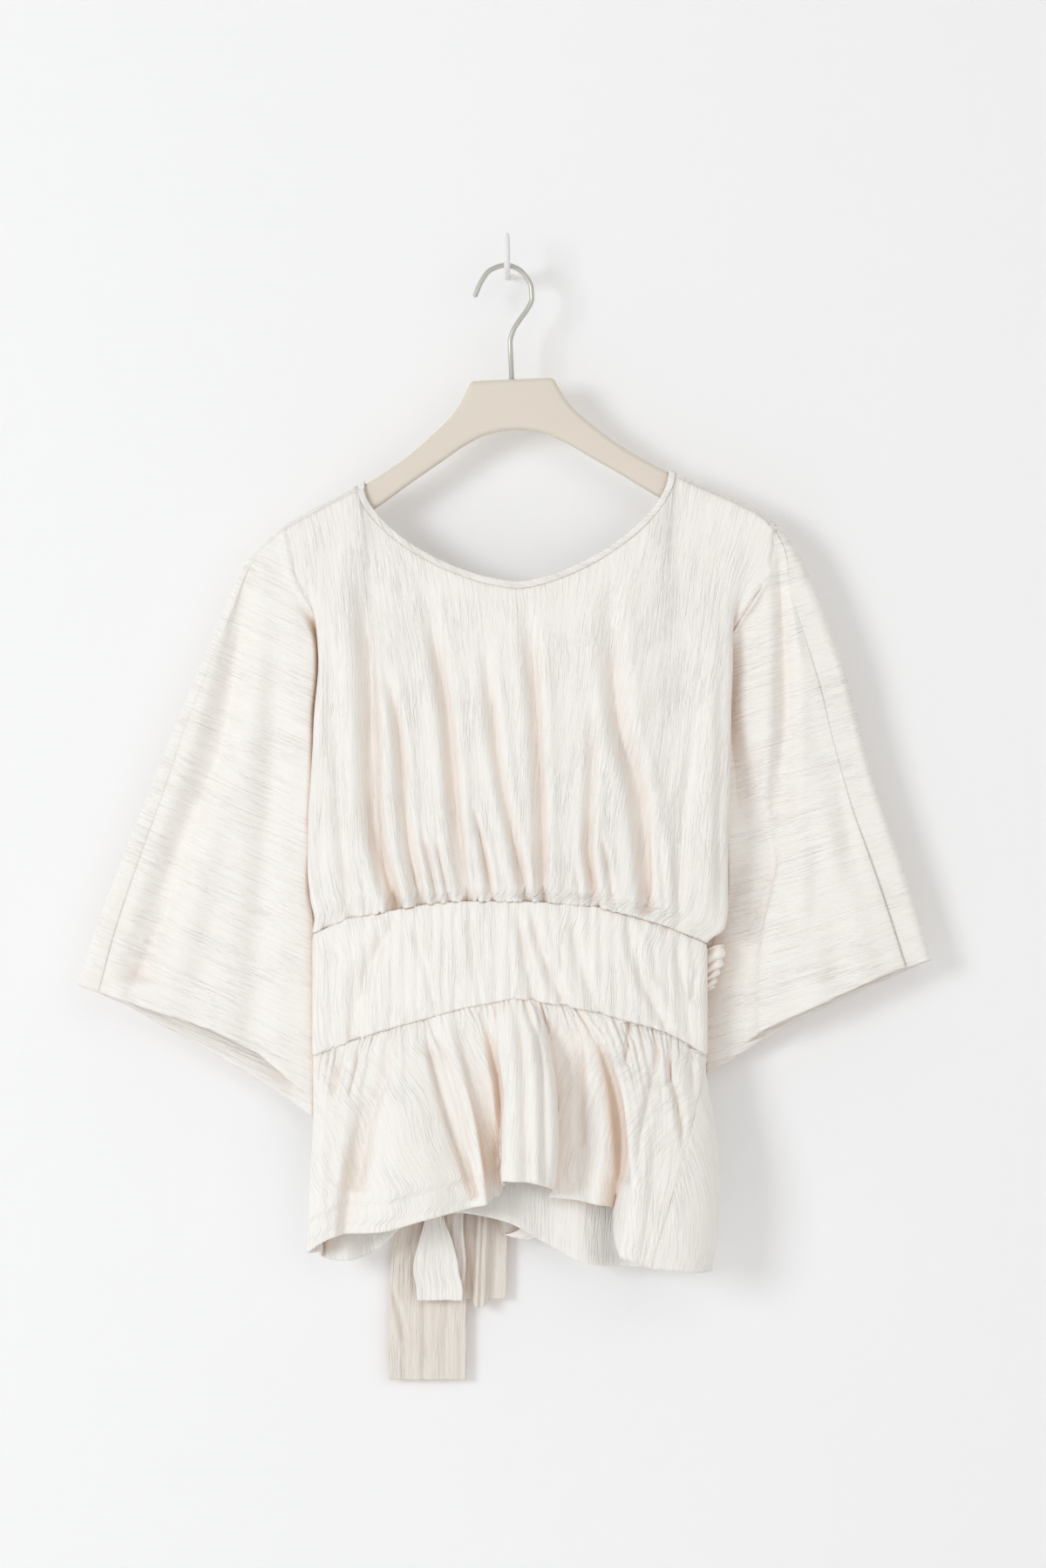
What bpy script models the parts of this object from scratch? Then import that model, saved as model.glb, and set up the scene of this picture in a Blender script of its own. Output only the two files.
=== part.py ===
"""Tie-back top on a wooden hanger that hangs from a small wall hook.

Origin: centre of the wall hook's flat end, on the wall. +X is to the right as the top is seen,
+Z is up, and the wall is the plane y = 0 with the garment in front of it, towards -Y.
Sizes are in millimetres and become metres where the meshes are made.
"""

import math

import bmesh
import bpy
import numpy as np

MM = 0.001

for old in list(bpy.data.objects):
    bpy.data.objects.remove(old, do_unlink=True)

parts = bpy.data.collections.new("tie_back_top")
cutters = bpy.data.collections.new("cutters")
bpy.context.scene.collection.children.link(parts)
bpy.context.scene.collection.children.link(cutters)


def table(columns, *rows):
    """A small table: one array for each named column."""
    return {name: np.array(values, float) for name, values in zip(columns.split(), zip(*rows))}


# Driving sizes

CLOTH = 1.2
SEAM_GAP = 0.3
LAP = CLOTH + SEAM_GAP
ROLL_OF_HANGER = math.radians(2.4)
HANGER_Y = -34.0
HANGER_THICK = 10.0
PLATE_TOP_Z = -86.0
WIRE = 4.0
SHANK = 5.0
NECK_HALF_WIDTH = 120.5
FRONT_CORNER_DROP = 83.0
BACK_CORNER_DROP = 92.5
FRONT_NECK_DROP = 78.0
BACK_NECK_DROP = 125.0
ROLL_INSET = 12.0
NECK_SQUARENESS = 1.55
BINDING = 5.4
BINDING_THICK = 2.2
SHOULDER_TIP = 206.0
SIDE_TURN = 22.0
SIDE_TURN_RADIUS = 6.0
TIE_WIDTH = 62.0

# Half of the wooden hanger: distance from its centre, and drops below the top of its plate

HANGER = table(
    "out top bottom",
    (0, 0, 39.0),
    (24.5, 0, 43.5),
    (33, 0, 48.0),
    (36, 6.5, 49.5),
    (42, 17.5, 52.5),
    (50, 28.0, 58.0),
    (66, 42.0, 68.0),
    (85, 57.5, 80.0),
    (102, 68.0, 91.5),
    (117, 77.0, 101.0),
    (143, 90.0, 111.5),
    (175, 105.5, 125.0),
    (194, 116.5, 133.5),
)
HANGER_TIP_OUT = 200.0
COVER = 2.3

# Outer edges of the garment below the hanger, where the back turns over to the front:
# how far in from the edge the seam shows on the front, and half the thickness of the fold

OUTER_LEFT = table(
    "x z seam_in half_depth mid_y",
    (-207, -231, 3.0, 7.6, -33.4),
    (-224, -268, 4.5, 7.0, -32.0),
    (-243, -313, 6.0, 6.5, -31.0),
    (-264, -362, 8.0, 6.0, -30.0),
    (-285, -415, 11.0, 6.0, -29.0),
    (-306, -467, 13.0, 5.5, -28.5),
    (-327, -523, 15.5, 5.5, -28.0),
    (-341, -567, 18.0, 5.0, -28.0),
)
OUTER_RIGHT = table(
    "x z seam_in half_depth mid_y",
    (226, -216, 8.0, 7.6, -33.4),
    (238, -238, 15.0, 7.2, -32.6),
    (251, -268, 21.0, 7.0, -32.0),
    (268, -315, 23.0, 6.5, -31.0),
    (281, -366, 23.0, 6.0, -30.0),
    (296, -419, 23.0, 6.0, -29.0),
    (309, -457, 22.5, 5.5, -28.5),
    (324, -503, 22.0, 5.5, -28.0),
    (337, -547, 21.0, 5.0, -28.0),
)

# The body's visible side edges, and how far forward the cloth stands at the centre and at the sides

SIDES = table(
    "z left right",
    (-200, -158, 197),
    (-230, -154, 193),
    (-262, -153, 188),
    (-320, -150, 186),
    (-359, -153, 183),
    (-401, -155, 181),
    (-440, -157, 178),
    (-478, -158, 176),
    (-506, -155, 175),
    (-522, -151, 171),
    (-533, -152, 157),
    (-583, -150, 155),
    (-621, -148, 154),
)
DEPTH = table(
    "z centre edge back",
    (-160, -42, -42, -26),
    (-240, -46, -45, -22),
    (-330, -52, -48, -20),
    (-430, -57, -48, -21),
    (-500, -62, -46, -24),
    (-560, -61, -46, -24),
    (-620, -61, -46, -24),
)
SLEEVE_DEPTH = table(
    "z front back",
    (-190, -42, -26),
    (-330, -41, -22),
    (-450, -40, -20),
    (-560, -39, -19),
    (-670, -37, -19),
)

# The shaped front band, and the band across the back

BAND = table(
    "x top bottom",
    (-152, -525, -622),
    (-127, -513, -612),
    (-99, -508, -602),
    (-64, -501.5, -592),
    (-36, -499, -584),
    (6, -499, -576),
    (34, -500, -580),
    (69, -503, -587),
    (97, -510, -595),
    (125, -518, -603),
    (142, -525, -612),
    (157, -533, -622),
)
BACK_BAND = table("x top bottom", (-152, -524, -623), (0, -528, -612), (157, -532, -623))

# Cuffs, from the underarm seam out to the overarm edge

CUFF_LEFT = table(
    "x front back",
    (-341, -567, -567),
    (-302, -580, -584),
    (-267, -591, -604),
    (-232, -603, -623),
    (-197, -621, -644),
    (-162, -651, -667),
    (-153, -659, -672),
)
CUFF_RIGHT = table(
    "x front back",
    (158, -627, -640),
    (188, -611, -621),
    (223, -593, -600),
    (258, -577, -583),
    (293, -560, -567),
    (314, -551, -558),
    (337, -547, -547),
)
UNDERARM_Z = -430.0
INNER_LEFT = table(
    "z x", (-671, -153), (-600, -152), (-540, -152), (-510, -154), (-490, -157), (-462, -155), (-430, -148)
)
INNER_RIGHT = table(
    "z x", (-640, 158), (-606, 157), (-570, 158), (-540, 162), (-515, 170), (-490, 176), (-462, 176), (-430, 169)
)

# The underarm seams hang behind the body: their depth, and where and over what width the cloth comes forward

INNER_FRONT_Y = {-1: -30.0, 1: -18.5}
INNER_REACH = {-1: (8.0, 22.0), 1: (0.0, 36.0)}

# Large folds of the front, as troughs between two points: side offset halfway, width, depth

BODICE_FOLDS = table(
    "x0 z0 x1 z1 bend width depth",
    (-104, -230, -92, -500, -14, 9, 4.5),
    (-76, -250, -66, -500, 4, 10, 2.5),
    (-54, -265, -42, -500, 3, 9, 4.5),
    (-26, -270, -14, -500, 2, 11, 2.5),
    (14, -270, 22, -500, 2, 9, 4.0),
    (46, -270, 48, -500, -2, 11, 2.5),
    (74, -270, 64, -500, -8, 9, 4.5),
    (92, -330, 108, -505, 2, 8, 4.0),
    (128, -300, 128, -510, 4, 11, 3.0),
    (160, -300, 148, -515, 2, 8, 2.5),
    (-135, -300, -124, -505, 2, 9, 3.0),
)
BACK_FOLDS = table(
    "x0 z0 x1 z1 bend width depth",
    (-118, -300, -96, -515, 4, 10, -3.5),
    (-78, -330, -60, -515, 2, 11, -3.0),
    (-36, -340, -26, -515, 2, 10, -3.5),
    (8, -340, 8, -515, 0, 11, -3.0),
    (50, -340, 42, -515, -2, 10, -3.5),
    (92, -330, 78, -515, -2, 11, -3.0),
    (134, -300, 116, -515, -4, 10, -3.5),
)
SLEEVE_FOLDS_LEFT = table(
    "x0 z0 x1 z1 bend width depth",
    (-186, -260, -200, -618, 4, 11, 3.0),
    (-200, -270, -248, -592, 2, 14, 2.5),
    (-222, -320, -292, -575, 3, 13, 2.5),
)
SLEEVE_FOLDS_RIGHT = table(
    "x0 z0 x1 z1 bend width depth",
    (212, -270, 222, -590, 4, 11, 3.0),
    (222, -290, 262, -572, 2, 13, 2.5),
    (236, -330, 298, -555, 2, 12, 2.5),
)
FRONT_GATHERS = 29
BACK_GATHERS = 24
PEPLUM_GATHERS = 33
BACK_PEPLUM_GATHERS = 28


# Curves and blends


def ease(t):
    t = np.clip(t, 0.0, 1.0)
    return t * t * (3 - 2 * t)


def follow(at, values, x):
    """A smooth curve through the points, with no overshoot between them, held at its ends."""
    step = np.diff(at)
    rise = np.diff(values) / step
    slope = np.zeros(len(at))
    slope[0], slope[-1] = rise[0], rise[-1]
    both = rise[:-1] * rise[1:] > 0
    first, second = rise[:-1][both], rise[1:][both]
    w1 = (2 * step[1:] + step[:-1])[both]
    w2 = (step[1:] + 2 * step[:-1])[both]
    slope[1:-1][both] = (w1 + w2) / (w1 / first + w2 / second)
    x = np.clip(x, at[0], at[-1])
    i = np.clip(np.searchsorted(at, x, side="right") - 1, 0, len(step) - 1)
    t = (x - at[i]) / step[i]
    a, b, h = values[i], values[i + 1], step[i]
    return (
        a * (1 + 2 * t) * (1 - t) ** 2
        + b * t * t * (3 - 2 * t)
        + h * (slope[i] * t * (1 - t) ** 2 - slope[i + 1] * t * t * (1 - t))
    )


def by_height(rows, name, z):
    """A column of a table whose first column falls with z."""
    turn = -1 if rows["z"][0] > rows["z"][-1] else 1
    return follow(rows["z"][::turn], rows[name][::turn], z)


def from_hanger(out, drop):
    """A point of the hanger, which hangs a little askew on the wall hook."""
    z = PLATE_TOP_Z - drop
    c, s = math.cos(ROLL_OF_HANGER), math.sin(ROLL_OF_HANGER)
    return out * c - z * s, out * s + z * c


# Outer edge of the garment on one side, from beside the plate over the shoulder to the cuff


def outer_edge(side, rows):
    out = np.array([66.0, 85.0, 102.0, NECK_HALF_WIDTH, 143.0, 175.0, 194.0])
    drop = np.interp(out, HANGER["out"], HANGER["top"]) - COVER
    x, z = from_hanger(side * out, drop)
    flat = np.full(len(out), 1.0)
    line = {
        "x": np.concatenate([x, rows["x"]]),
        "z": np.concatenate([z, rows["z"]]),
        "seam_in": np.concatenate([flat * 3.0, rows["seam_in"]]),
        "half_depth": np.concatenate([flat * 8.0, rows["half_depth"]]),
        "mid_y": np.concatenate([flat * HANGER_Y, rows["mid_y"]]),
    }
    length = np.concatenate([[0], np.cumsum(np.hypot(np.diff(line["x"]), np.diff(line["z"])))])
    fine = np.linspace(0, length[-1], 260)
    edge = {name: follow(length, values, fine) for name, values in line.items()}
    dx, dz = np.gradient(edge["x"]), np.gradient(edge["z"])
    size = np.hypot(dx, dz)
    edge["nx"], edge["nz"] = side * dz / size, -side * dx / size
    edge["length"] = fine
    turn = np.arccos(np.clip(1 - edge["seam_in"] / edge["half_depth"], 0, 1))
    unrolled = np.where(edge["seam_in"] < edge["half_depth"], edge["half_depth"] * turn * 2 / math.pi, edge["seam_in"])
    apart = 1.5 * SEAM_GAP
    edge["seam_x"] = edge["x"] + edge["nx"] * (edge["seam_in"] + apart)
    edge["seam_z"] = edge["z"] + edge["nz"] * (edge["seam_in"] + apart)
    edge["inset_x"] = edge["x"] + edge["nx"] * ROLL_INSET
    edge["inset_z"] = edge["z"] + edge["nz"] * ROLL_INSET
    edge["strip_x"] = edge["x"] - edge["nx"] * (unrolled - apart)
    edge["strip_z"] = edge["z"] - edge["nz"] * (unrolled - apart)
    edge["strip_out"] = unrolled - apart
    edge["side"] = side
    return edge


EDGES = {-1: outer_edge(-1, OUTER_LEFT), 1: outer_edge(1, OUTER_RIGHT)}


def nearest(edge, x, z):
    """The nearest point of an outer edge: how far inside it a place lies, and the edge's own values there."""
    shape = np.shape(x)
    px, pz = np.ravel(x)[:, None], np.ravel(z)[:, None]
    ax, az = edge["x"][:-1], edge["z"][:-1]
    bx, bz = np.diff(edge["x"]), np.diff(edge["z"])
    t = np.clip(((px - ax) * bx + (pz - az) * bz) / (bx * bx + bz * bz), 0, 1)
    gap = np.hypot(px - ax - t * bx, pz - az - t * bz)
    i = gap.argmin(axis=1)
    row = np.arange(len(i))
    t = t[row, i]
    found = {n: edge[n][i] * (1 - t) + edge[n][i + 1] * t for n in ("x", "z", "nx", "nz", "half_depth", "mid_y")}
    inward = (px[:, 0] - found["x"]) * found["nx"] + (pz[:, 0] - found["z"]) * found["nz"]
    found["inside"] = gap[row, i] * np.where(inward < 0, -1, 1)
    return {n: values.reshape(shape) for n, values in found.items()}


def fold_back_over(edge, x, z):
    """Turns the back's cloth over the outer edge to the front: a place beyond the edge comes to lie inside it."""
    at = nearest(edge, x, z)
    r = at["half_depth"]
    turn = np.clip(at["inside"] / r, -1, 1) * math.pi / 2
    near = np.abs(at["inside"]) < r
    in_by = np.where(near, r * (1 - np.cos(turn)), np.abs(at["inside"]))
    moved = at["inside"] < r
    new_x = np.where(moved, at["x"] + at["nx"] * in_by, x)
    new_z = np.where(moved, at["z"] + at["nz"] * in_by, z)
    return new_x, at["mid_y"] + r * np.sin(turn), new_z, at["inside"]


def over_shoulder(side, x, beyond):
    """The back's pattern place that hangs at x once folded over; beyond runs from the inset line to the strip's end."""
    edge = EDGES[side]

    def at(name, x):
        return np.interp(side * x, side * edge["x"], edge[name])

    r = at("half_depth", x)
    inside = ROLL_INSET - (ROLL_INSET + at("strip_out", x)) * beyond
    in_by = np.where(np.abs(inside) < r, r * (1 - np.cos(inside / r * math.pi / 2)), np.abs(inside))
    foot = x
    for _ in range(4):
        foot = x - at("nx", foot) * in_by
    return foot + at("nx", foot) * inside, at("z", foot) + at("nz", foot) * inside


def front_of_edge(edge, x, z):
    at = nearest(edge, x, z)
    r = at["half_depth"]
    in_by = np.clip(at["inside"], 0, r)
    return at["mid_y"] - np.sqrt(r * r - (r - in_by) ** 2), at["inside"]


def folds(rows, x, z):
    """Sum of the large folds at a place."""
    total = np.zeros(np.shape(x))
    for x0, z0, x1, z1, bend, width, depth in zip(*(rows[n] for n in "x0 z0 x1 z1 bend width depth".split())):
        t = (z - z0) / (z1 - z0)
        middle = x0 + (x1 - x0) * t + 4 * bend * t * (1 - t)
        reach = ease((t + 0.1) / 0.3) * ease((1.12 - t) / 0.16)
        total += depth * reach * np.exp(-(((x - middle) / width) ** 2))
    return total


def gather_marks(count, wobble):
    """Places of the ridges and troughs of a gathered edge, unevenly spaced, as fractions of its length."""
    k = np.arange(2 * count + 1)
    uneven = wobble * (np.sin(2.3 * k) + 0.7 * np.sin(1.1 * k + 1.0)) * np.sin(math.pi * k / (2 * count))
    return (k + uneven) / (2 * count)


def gathers(marks, s):
    return np.cos(math.pi * np.interp(s, marks, np.arange(len(marks))))


def coons(top, bottom, left, right, s, v, reach=1.0):
    """Places inside a patch with four border curves; each curve gives x and z for 0 to 1.

    Reach is how far in from a side its curve is felt, as a share of the width.
    """
    def lifted(curve, t):
        return np.stack(curve(t), axis=-1)

    def corner(curve, t):
        return np.array([float(np.asarray(c)) for c in curve(np.float64(t))])

    v3 = v[..., None]
    from_left = (1 - s if reach == 1 else ease((reach - s) / reach))[..., None]
    from_right = (s if reach == 1 else ease((reach - 1 + s) / reach))[..., None]
    left_bow = lifted(left, v) - (1 - v3) * corner(left, 0) - v3 * corner(left, 1)
    right_bow = lifted(right, v) - (1 - v3) * corner(right, 0) - v3 * corner(right, 1)
    inside = (1 - v3) * lifted(top, s) + v3 * lifted(bottom, s) + from_left * left_bow + from_right * right_bow
    return inside[..., 0], inside[..., 1]


# Necklines, drawn in the hanger's own frame


def neck_curve(kind, grow, t):
    """A scoop from the left corner to the right, grown outwards; t runs 0 to 1."""
    corner, drop = (FRONT_CORNER_DROP, FRONT_NECK_DROP) if kind == "seam" else (BACK_CORNER_DROP, BACK_NECK_DROP)
    half = NECK_HALF_WIDTH + grow
    across = -np.cos(math.pi * t)
    deep = np.clip(1 - np.abs(across) ** NECK_SQUARENESS, 0, 1) ** (1 / NECK_SQUARENESS)
    return from_hanger(half * across, corner + (drop + grow) * deep)


NECK_GROWN = BINDING + 1.5 * SEAM_GAP

def top_line(t, kind, left_x, right_x, neck):
    """A body panel's upper border: left shoulder, neckline, right shoulder; the neck takes t from neck[0] to neck[1]."""
    line = "seam" if kind == "seam" else "inset"
    neck_x, neck_z = neck_curve(kind, NECK_GROWN, np.clip((t - neck[0]) / (neck[1] - neck[0]), 0, 1))
    ends_x, _ = neck_curve(kind, NECK_GROWN, np.array([0.0, 1.0]))
    left = left_x + (ends_x[0] - left_x) * np.clip(t / neck[0], 0, 1)
    right = ends_x[1] + (right_x - ends_x[1]) * np.clip((t - neck[1]) / (1 - neck[1]), 0, 1)
    le, re = EDGES[-1], EDGES[1]
    left_z = np.interp(-left, -le[line + "_x"], le[line + "_z"])
    right_z = np.interp(right, re[line + "_x"], re[line + "_z"])
    x = np.where(t < neck[0], left, np.where(t > neck[1], right, neck_x))
    z = np.where(t < neck[0], left_z, np.where(t > neck[1], right_z, neck_z))
    return x, z


# Front


def side_x(z, side):
    return by_height(SIDES, "left" if side < 0 else "right", z)


def flat_side(side, z):
    """The unfolded body reaches past its visible side edge by the cloth in the side turn."""
    return side_x(z, side) + side * (SIDE_TURN - SIDE_TURN_RADIUS)


TURN_SHARE = SIDE_TURN / 375.0


def turned(place, side, s, v, openness):
    """Rolls the cloth beyond the body's side edge back behind it; place gives x, y and z for s and v."""
    start = TURN_SHARE if side < 0 else 1 - TURN_SHARE
    beyond = (start - s) * -side
    on_turn = beyond > 0
    arc = np.where(on_turn, beyond / TURN_SHARE * SIDE_TURN, 0)
    x, y, z = place(s, v)
    fx, fy, _ = place(np.where(on_turn, start, s), v)
    r = SIDE_TURN_RADIUS
    bent = np.minimum(arc, math.pi * r)
    rx = fx + side * (r * np.sin(bent / r) - (arc - bent))
    ry = fy + r * (1 - np.cos(bent / r))
    w = np.where(on_turn, openness, 0)
    return x * (1 - w) + rx * w, y * (1 - w) + ry * w, z


FRONT_SPLIT_X = {-1: flat_side(-1, -200.0), 1: flat_side(1, -206.0)}
FRONT_MARKS = gather_marks(FRONT_GATHERS, 0.28)
BACK_MARKS = gather_marks(BACK_GATHERS, 0.28)


def face_columns(marks):
    """Columns across a body panel: the side turns, then one for each ridge and trough."""
    turn = np.array([0, 0.25, 0.55, 0.8]) * TURN_SHARE
    face = TURN_SHARE + (1 - 2 * TURN_SHARE) * np.asarray(marks)
    return np.concatenate([turn, face, 1 - turn[::-1]])


FRONT_COLUMNS = face_columns(FRONT_MARKS)
FRONT_NECK_COLUMNS = (9, len(FRONT_COLUMNS) - 10)
BACK_NECK_COLUMNS = (6, len(BACK_MARKS) - 7)
FRONT_NECK = [FRONT_COLUMNS[i] for i in FRONT_NECK_COLUMNS]
BACK_NECK = [BACK_MARKS[i] for i in BACK_NECK_COLUMNS]


def across_face(s):
    return np.clip((s - TURN_SHARE) / (1 - 2 * TURN_SHARE), 0, 1)


def front_depth(x, z):
    """How far forward the front stands at a place, with its large folds but without the gathers."""
    edge_y, inside = np.zeros(x.shape), np.zeros(x.shape)
    for side in (-1, 1):
        y, d = front_of_edge(EDGES[side], x, z)
        mine = (x * side) > 0
        edge_y, inside = np.where(mine, y, edge_y), np.where(mine, d, inside)
    left, right = side_x(z, -1), side_x(z, 1)
    t = np.clip((2 * x - left - right) / (right - left - 2 * SIDE_TURN_RADIUS), -1, 1)
    crown = 1 - np.abs(t) ** 2.4
    y = by_height(DEPTH, "edge", z) * (1 - crown) + by_height(DEPTH, "centre", z) * crown
    y = edge_y + (y - edge_y) * ease(inside / 60)
    return y + folds(BODICE_FOLDS, x, z) * ease((1 - np.abs(t)) / 0.08)


def front_flat(s, v):
    """The front bodice before its sides are turned back."""
    lx, rx = FRONT_SPLIT_X[-1], FRONT_SPLIT_X[1]
    low_l, low_r = flat_side(-1, -533.0), flat_side(1, -533.0)

    def top(t):
        return top_line(t, "seam", lx, rx, FRONT_NECK)

    def bottom(t):
        x = low_l + (low_r - low_l) * t
        return x, np.interp(x, BAND["x"], BAND["top"]) + SEAM_GAP

    def side_line(side, height):
        def line(t):
            z = height + (-533.0 - height) * t
            return flat_side(side, z), z
        return line

    x, z = coons(top, bottom, side_line(-1, -200.0), side_line(1, -206.0), s, v)
    y = front_depth(x, z)
    face = ease((1 - np.abs(across_face(s) * 2 - 1)) / 0.08)
    from_seam = (1 - v) * 260
    rise = (0.25 + 0.75 * ease(from_seam / 9)) * np.exp(-((from_seam / 62) ** 2))
    puff = ease(from_seam / 14) * np.exp(-((from_seam / 38) ** 2))
    y = y - 2.0 * gathers(FRONT_MARKS, across_face(s)) * rise * face - 3.0 * puff
    return x, y, z


def openness(v):
    return ease((v - 0.03) / 0.16)


def front_body(s, v):
    x, y, z = front_flat(s, v)
    for side in (-1, 1):
        tx, ty, tz = turned(front_flat, side, s, v, openness(v))
        mine = s < 0.5 if side < 0 else s >= 0.5
        x, y = np.where(mine, tx, x), np.where(mine, ty, y)
    return x, y, z


UNDERARM_V = (UNDERARM_Z + 200.0) / (-533.0 + 200.0)


def body_line(body, side, v):
    s = np.zeros(np.shape(v)) if side < 0 else np.ones(np.shape(v))
    return body(s, np.asarray(v, float))


def on_edge(edge, kind, x0, length):
    """Places along an edge's own line by length, from where it passes x0."""
    side = edge["side"]
    start = np.interp(side * x0, side * edge[kind + "_x"], edge["length"])
    at = start + length * (edge["length"][-1] - start)
    return np.interp(at, edge["length"], edge[kind + "_x"]), np.interp(at, edge["length"], edge[kind + "_z"])


def v_of_w(kind, w):
    """Place on the body's side line that belongs to a sleeve row above the underarm."""
    if kind == "seam":
        return np.clip(w / 0.5, 0, 1) * UNDERARM_V
    return np.where(w < 0.03, w / 0.03 - 1, np.clip((w - 0.03) / 0.47, 0, 1) * UNDERARM_V)


def w_of_v(kind, v):
    if kind == "seam":
        return v / UNDERARM_V * 0.5
    return np.where(v < 0, 0.03 * (1 + v), 0.03 + 0.47 * v / UNDERARM_V)


def sleeve_patch(side, body, kind, hem_kind, inner_y, u, w):
    """One layer of a sleeve: u from the inner line out to the overarm seam, w from shoulder to cuff.

    The upper half of the inner line is the body panel's own side line, and the lower half is the underarm seam.
    """
    edge = EDGES[side]
    inner = INNER_LEFT if side < 0 else INNER_RIGHT
    cuff = CUFF_LEFT if side < 0 else CUFF_RIGHT
    top_x = float(body_line(body, side, v_of_w(kind, np.float64(0)))[0])
    low_x, low_y, low_z = (float(c) for c in body_line(body, side, UNDERARM_V))
    tip = edge[kind + "_x"][np.searchsorted(edge["length"], edge["length"][np.abs(edge["x"] - side * SHOULDER_TIP).argmin()])]
    end_x = cuff["x"][0] if side < 0 else cuff["x"][-1]
    inner_end_x = cuff["x"][-1] if side < 0 else cuff["x"][0]
    cuff_z = cuff[hem_kind]
    last_x, last_z = edge[kind + "_x"][-1], edge[kind + "_z"][-1]

    def top(t):
        x = top_x + (tip - top_x) * t
        return x, np.interp(side * x, side * edge[kind + "_x"], edge[kind + "_z"])

    def bottom(t):
        x = inner_end_x + (last_x - inner_end_x) * t
        beyond = np.maximum(side * (x - end_x), 0)
        z = np.interp(x, cuff["x"], cuff_z)
        if kind == "seam":
            z = z + (last_z - np.interp(last_x, cuff["x"], cuff_z)) * t**4
        else:
            z = z + (last_z - edge["z"][-1]) * np.clip(beyond / abs(last_x - end_x), 0, 1)
        return x, z

    def inner_line(t):
        above = body_line(body, side, v_of_w(kind, t))
        z_end = float(np.interp(inner_end_x, cuff["x"], cuff_z))
        z = low_z + (z_end - low_z) * np.clip((t - 0.5) / 0.5, 0, 1)
        x = by_height(inner, "x", z) + (low_x - inner["x"][-1 if inner["z"][-1] > inner["z"][0] else 0]) * ease(1 - (t - 0.5) / 0.12)
        return np.where(t <= 0.5, above[0], x), np.where(t <= 0.5, above[2], z)

    def outer_line(t):
        return on_edge(edge, kind, tip, t)

    x, z = coons(top, bottom, inner_line, outer_line, u, w)
    ix, iz = inner_line(w)
    above_y = body_line(body, side, v_of_w(kind, w))[1]
    line_y = np.where(w <= 0.5, above_y, inner_y + (low_y - inner_y) * ease(1 - (low_z - iz) / 60))
    return x, z, np.abs(x - ix), line_y


def front_sleeve(side, u, w):
    x, z, from_line, line_y = sleeve_patch(side, front_body, "seam", "front", INNER_FRONT_Y[side], u, w)
    edge_y, inside = front_of_edge(EDGES[side], x, z)
    y = edge_y + (by_height(SLEEVE_DEPTH, "front", z) - edge_y) * ease(inside / 50)
    y = y + folds(SLEEVE_FOLDS_LEFT if side < 0 else SLEEVE_FOLDS_RIGHT, x, z) * ease(inside / 30)
    opened = openness(v_of_w("seam", w)) * ease(1 - (w - 0.5) / 0.08)
    behind = line_y + 3.5 * opened * ease(from_line / 2.5)
    start, width = INNER_REACH[side]
    hold = 1 - ease((from_line - start * opened) / width)
    return x, y + (behind - y) * hold, z


# Back


def back_line(side, v):
    """The back's side line lies just behind the front's, lapped over it by the seam gap."""
    v = np.asarray(v, float)
    x, y, z = body_line(front_body, side, np.maximum(v, 0))
    x = x + side * 1.0
    edge = EDGES[side]
    inset_z, seam_z = (np.interp(side * x, side * edge[n + "_x"], edge[n + "_z"]) for n in ("inset", "seam"))
    z = z + (inset_z - seam_z) * (1 - np.maximum(v, 0))
    rolled_x, rolled_z = over_shoulder(side, x, np.clip(-v, 0, 1))
    x, z = np.where(v < 0, rolled_x, x), np.where(v < 0, rolled_z, z)
    deep = np.where(v < UNDERARM_V, 5.0, 5.0 + (LAP - 5.0) * ease((v - UNDERARM_V) / 0.12))
    top_y = HANGER_Y + 8.0
    y = top_y + (y + deep - top_y) * ease((v - 0.06) / (UNDERARM_V - 0.1))
    return x, y, z


def back_place(x, z):
    """Where a place of the back's flat pattern hangs, with its large folds but without the gathers."""
    px, py, pz, inside = x.copy(), np.zeros(x.shape), z.copy(), np.zeros(x.shape)
    for side in (-1, 1):
        fx, fy, fz, d = fold_back_over(EDGES[side], x, z)
        mine = (x * side) > 0
        px, py, pz = np.where(mine, fx, px), np.where(mine, fy, py), np.where(mine, fz, pz)
        inside = np.where(mine, d, inside)
    y = by_height(DEPTH, "back", pz)
    y = py + (y - py) * ease((inside - 8) / 60)
    return px, y - folds(BACK_FOLDS, px, pz), pz


def back_body(s, v):
    lx, rx = float(back_line(-1, 0.0)[0]), float(back_line(1, 0.0)[0])
    low_l, low_r = float(back_line(-1, 1.0)[0]), float(back_line(1, 1.0)[0])

    def top(t):
        return top_line(t, "back", lx, rx, BACK_NECK)

    def bottom(t):
        x = low_l + (low_r - low_l) * t
        return x, np.interp(x, BACK_BAND["x"], BACK_BAND["top"]) + SEAM_GAP / 2

    def side_line(side):
        def line(t):
            x, _, z = back_line(side, t)
            return x, z
        return line

    x, z = coons(top, bottom, side_line(-1), side_line(1), s, np.maximum(v, 0), 0.16)
    for side in (-1, 1):
        rolled_x, rolled_z = over_shoulder(side, x, np.clip(-v, 0, 1))
        rolled = (x * side > 0) & (v < 0)
        x, z = np.where(rolled, rolled_x, x), np.where(rolled, rolled_z, z)
    px, y, pz = back_place(x, z)
    from_seam = (1 - np.maximum(v, 0)) * 230
    rise = (0.25 + 0.75 * ease(from_seam / 9)) * np.exp(-((from_seam / 55) ** 2))
    y = y + 1.7 * gathers(BACK_MARKS, s) * rise * ease(np.minimum(s, 1 - s) / 0.06)
    for side in (-1, 1):
        bx, by, _ = back_line(side, v)
        hold = (1 - ease(np.abs(px - bx) / 22)) * openness(v)
        y = y + (by - y) * hold * ((px * side) > 0)
    return px, y, pz


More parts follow.
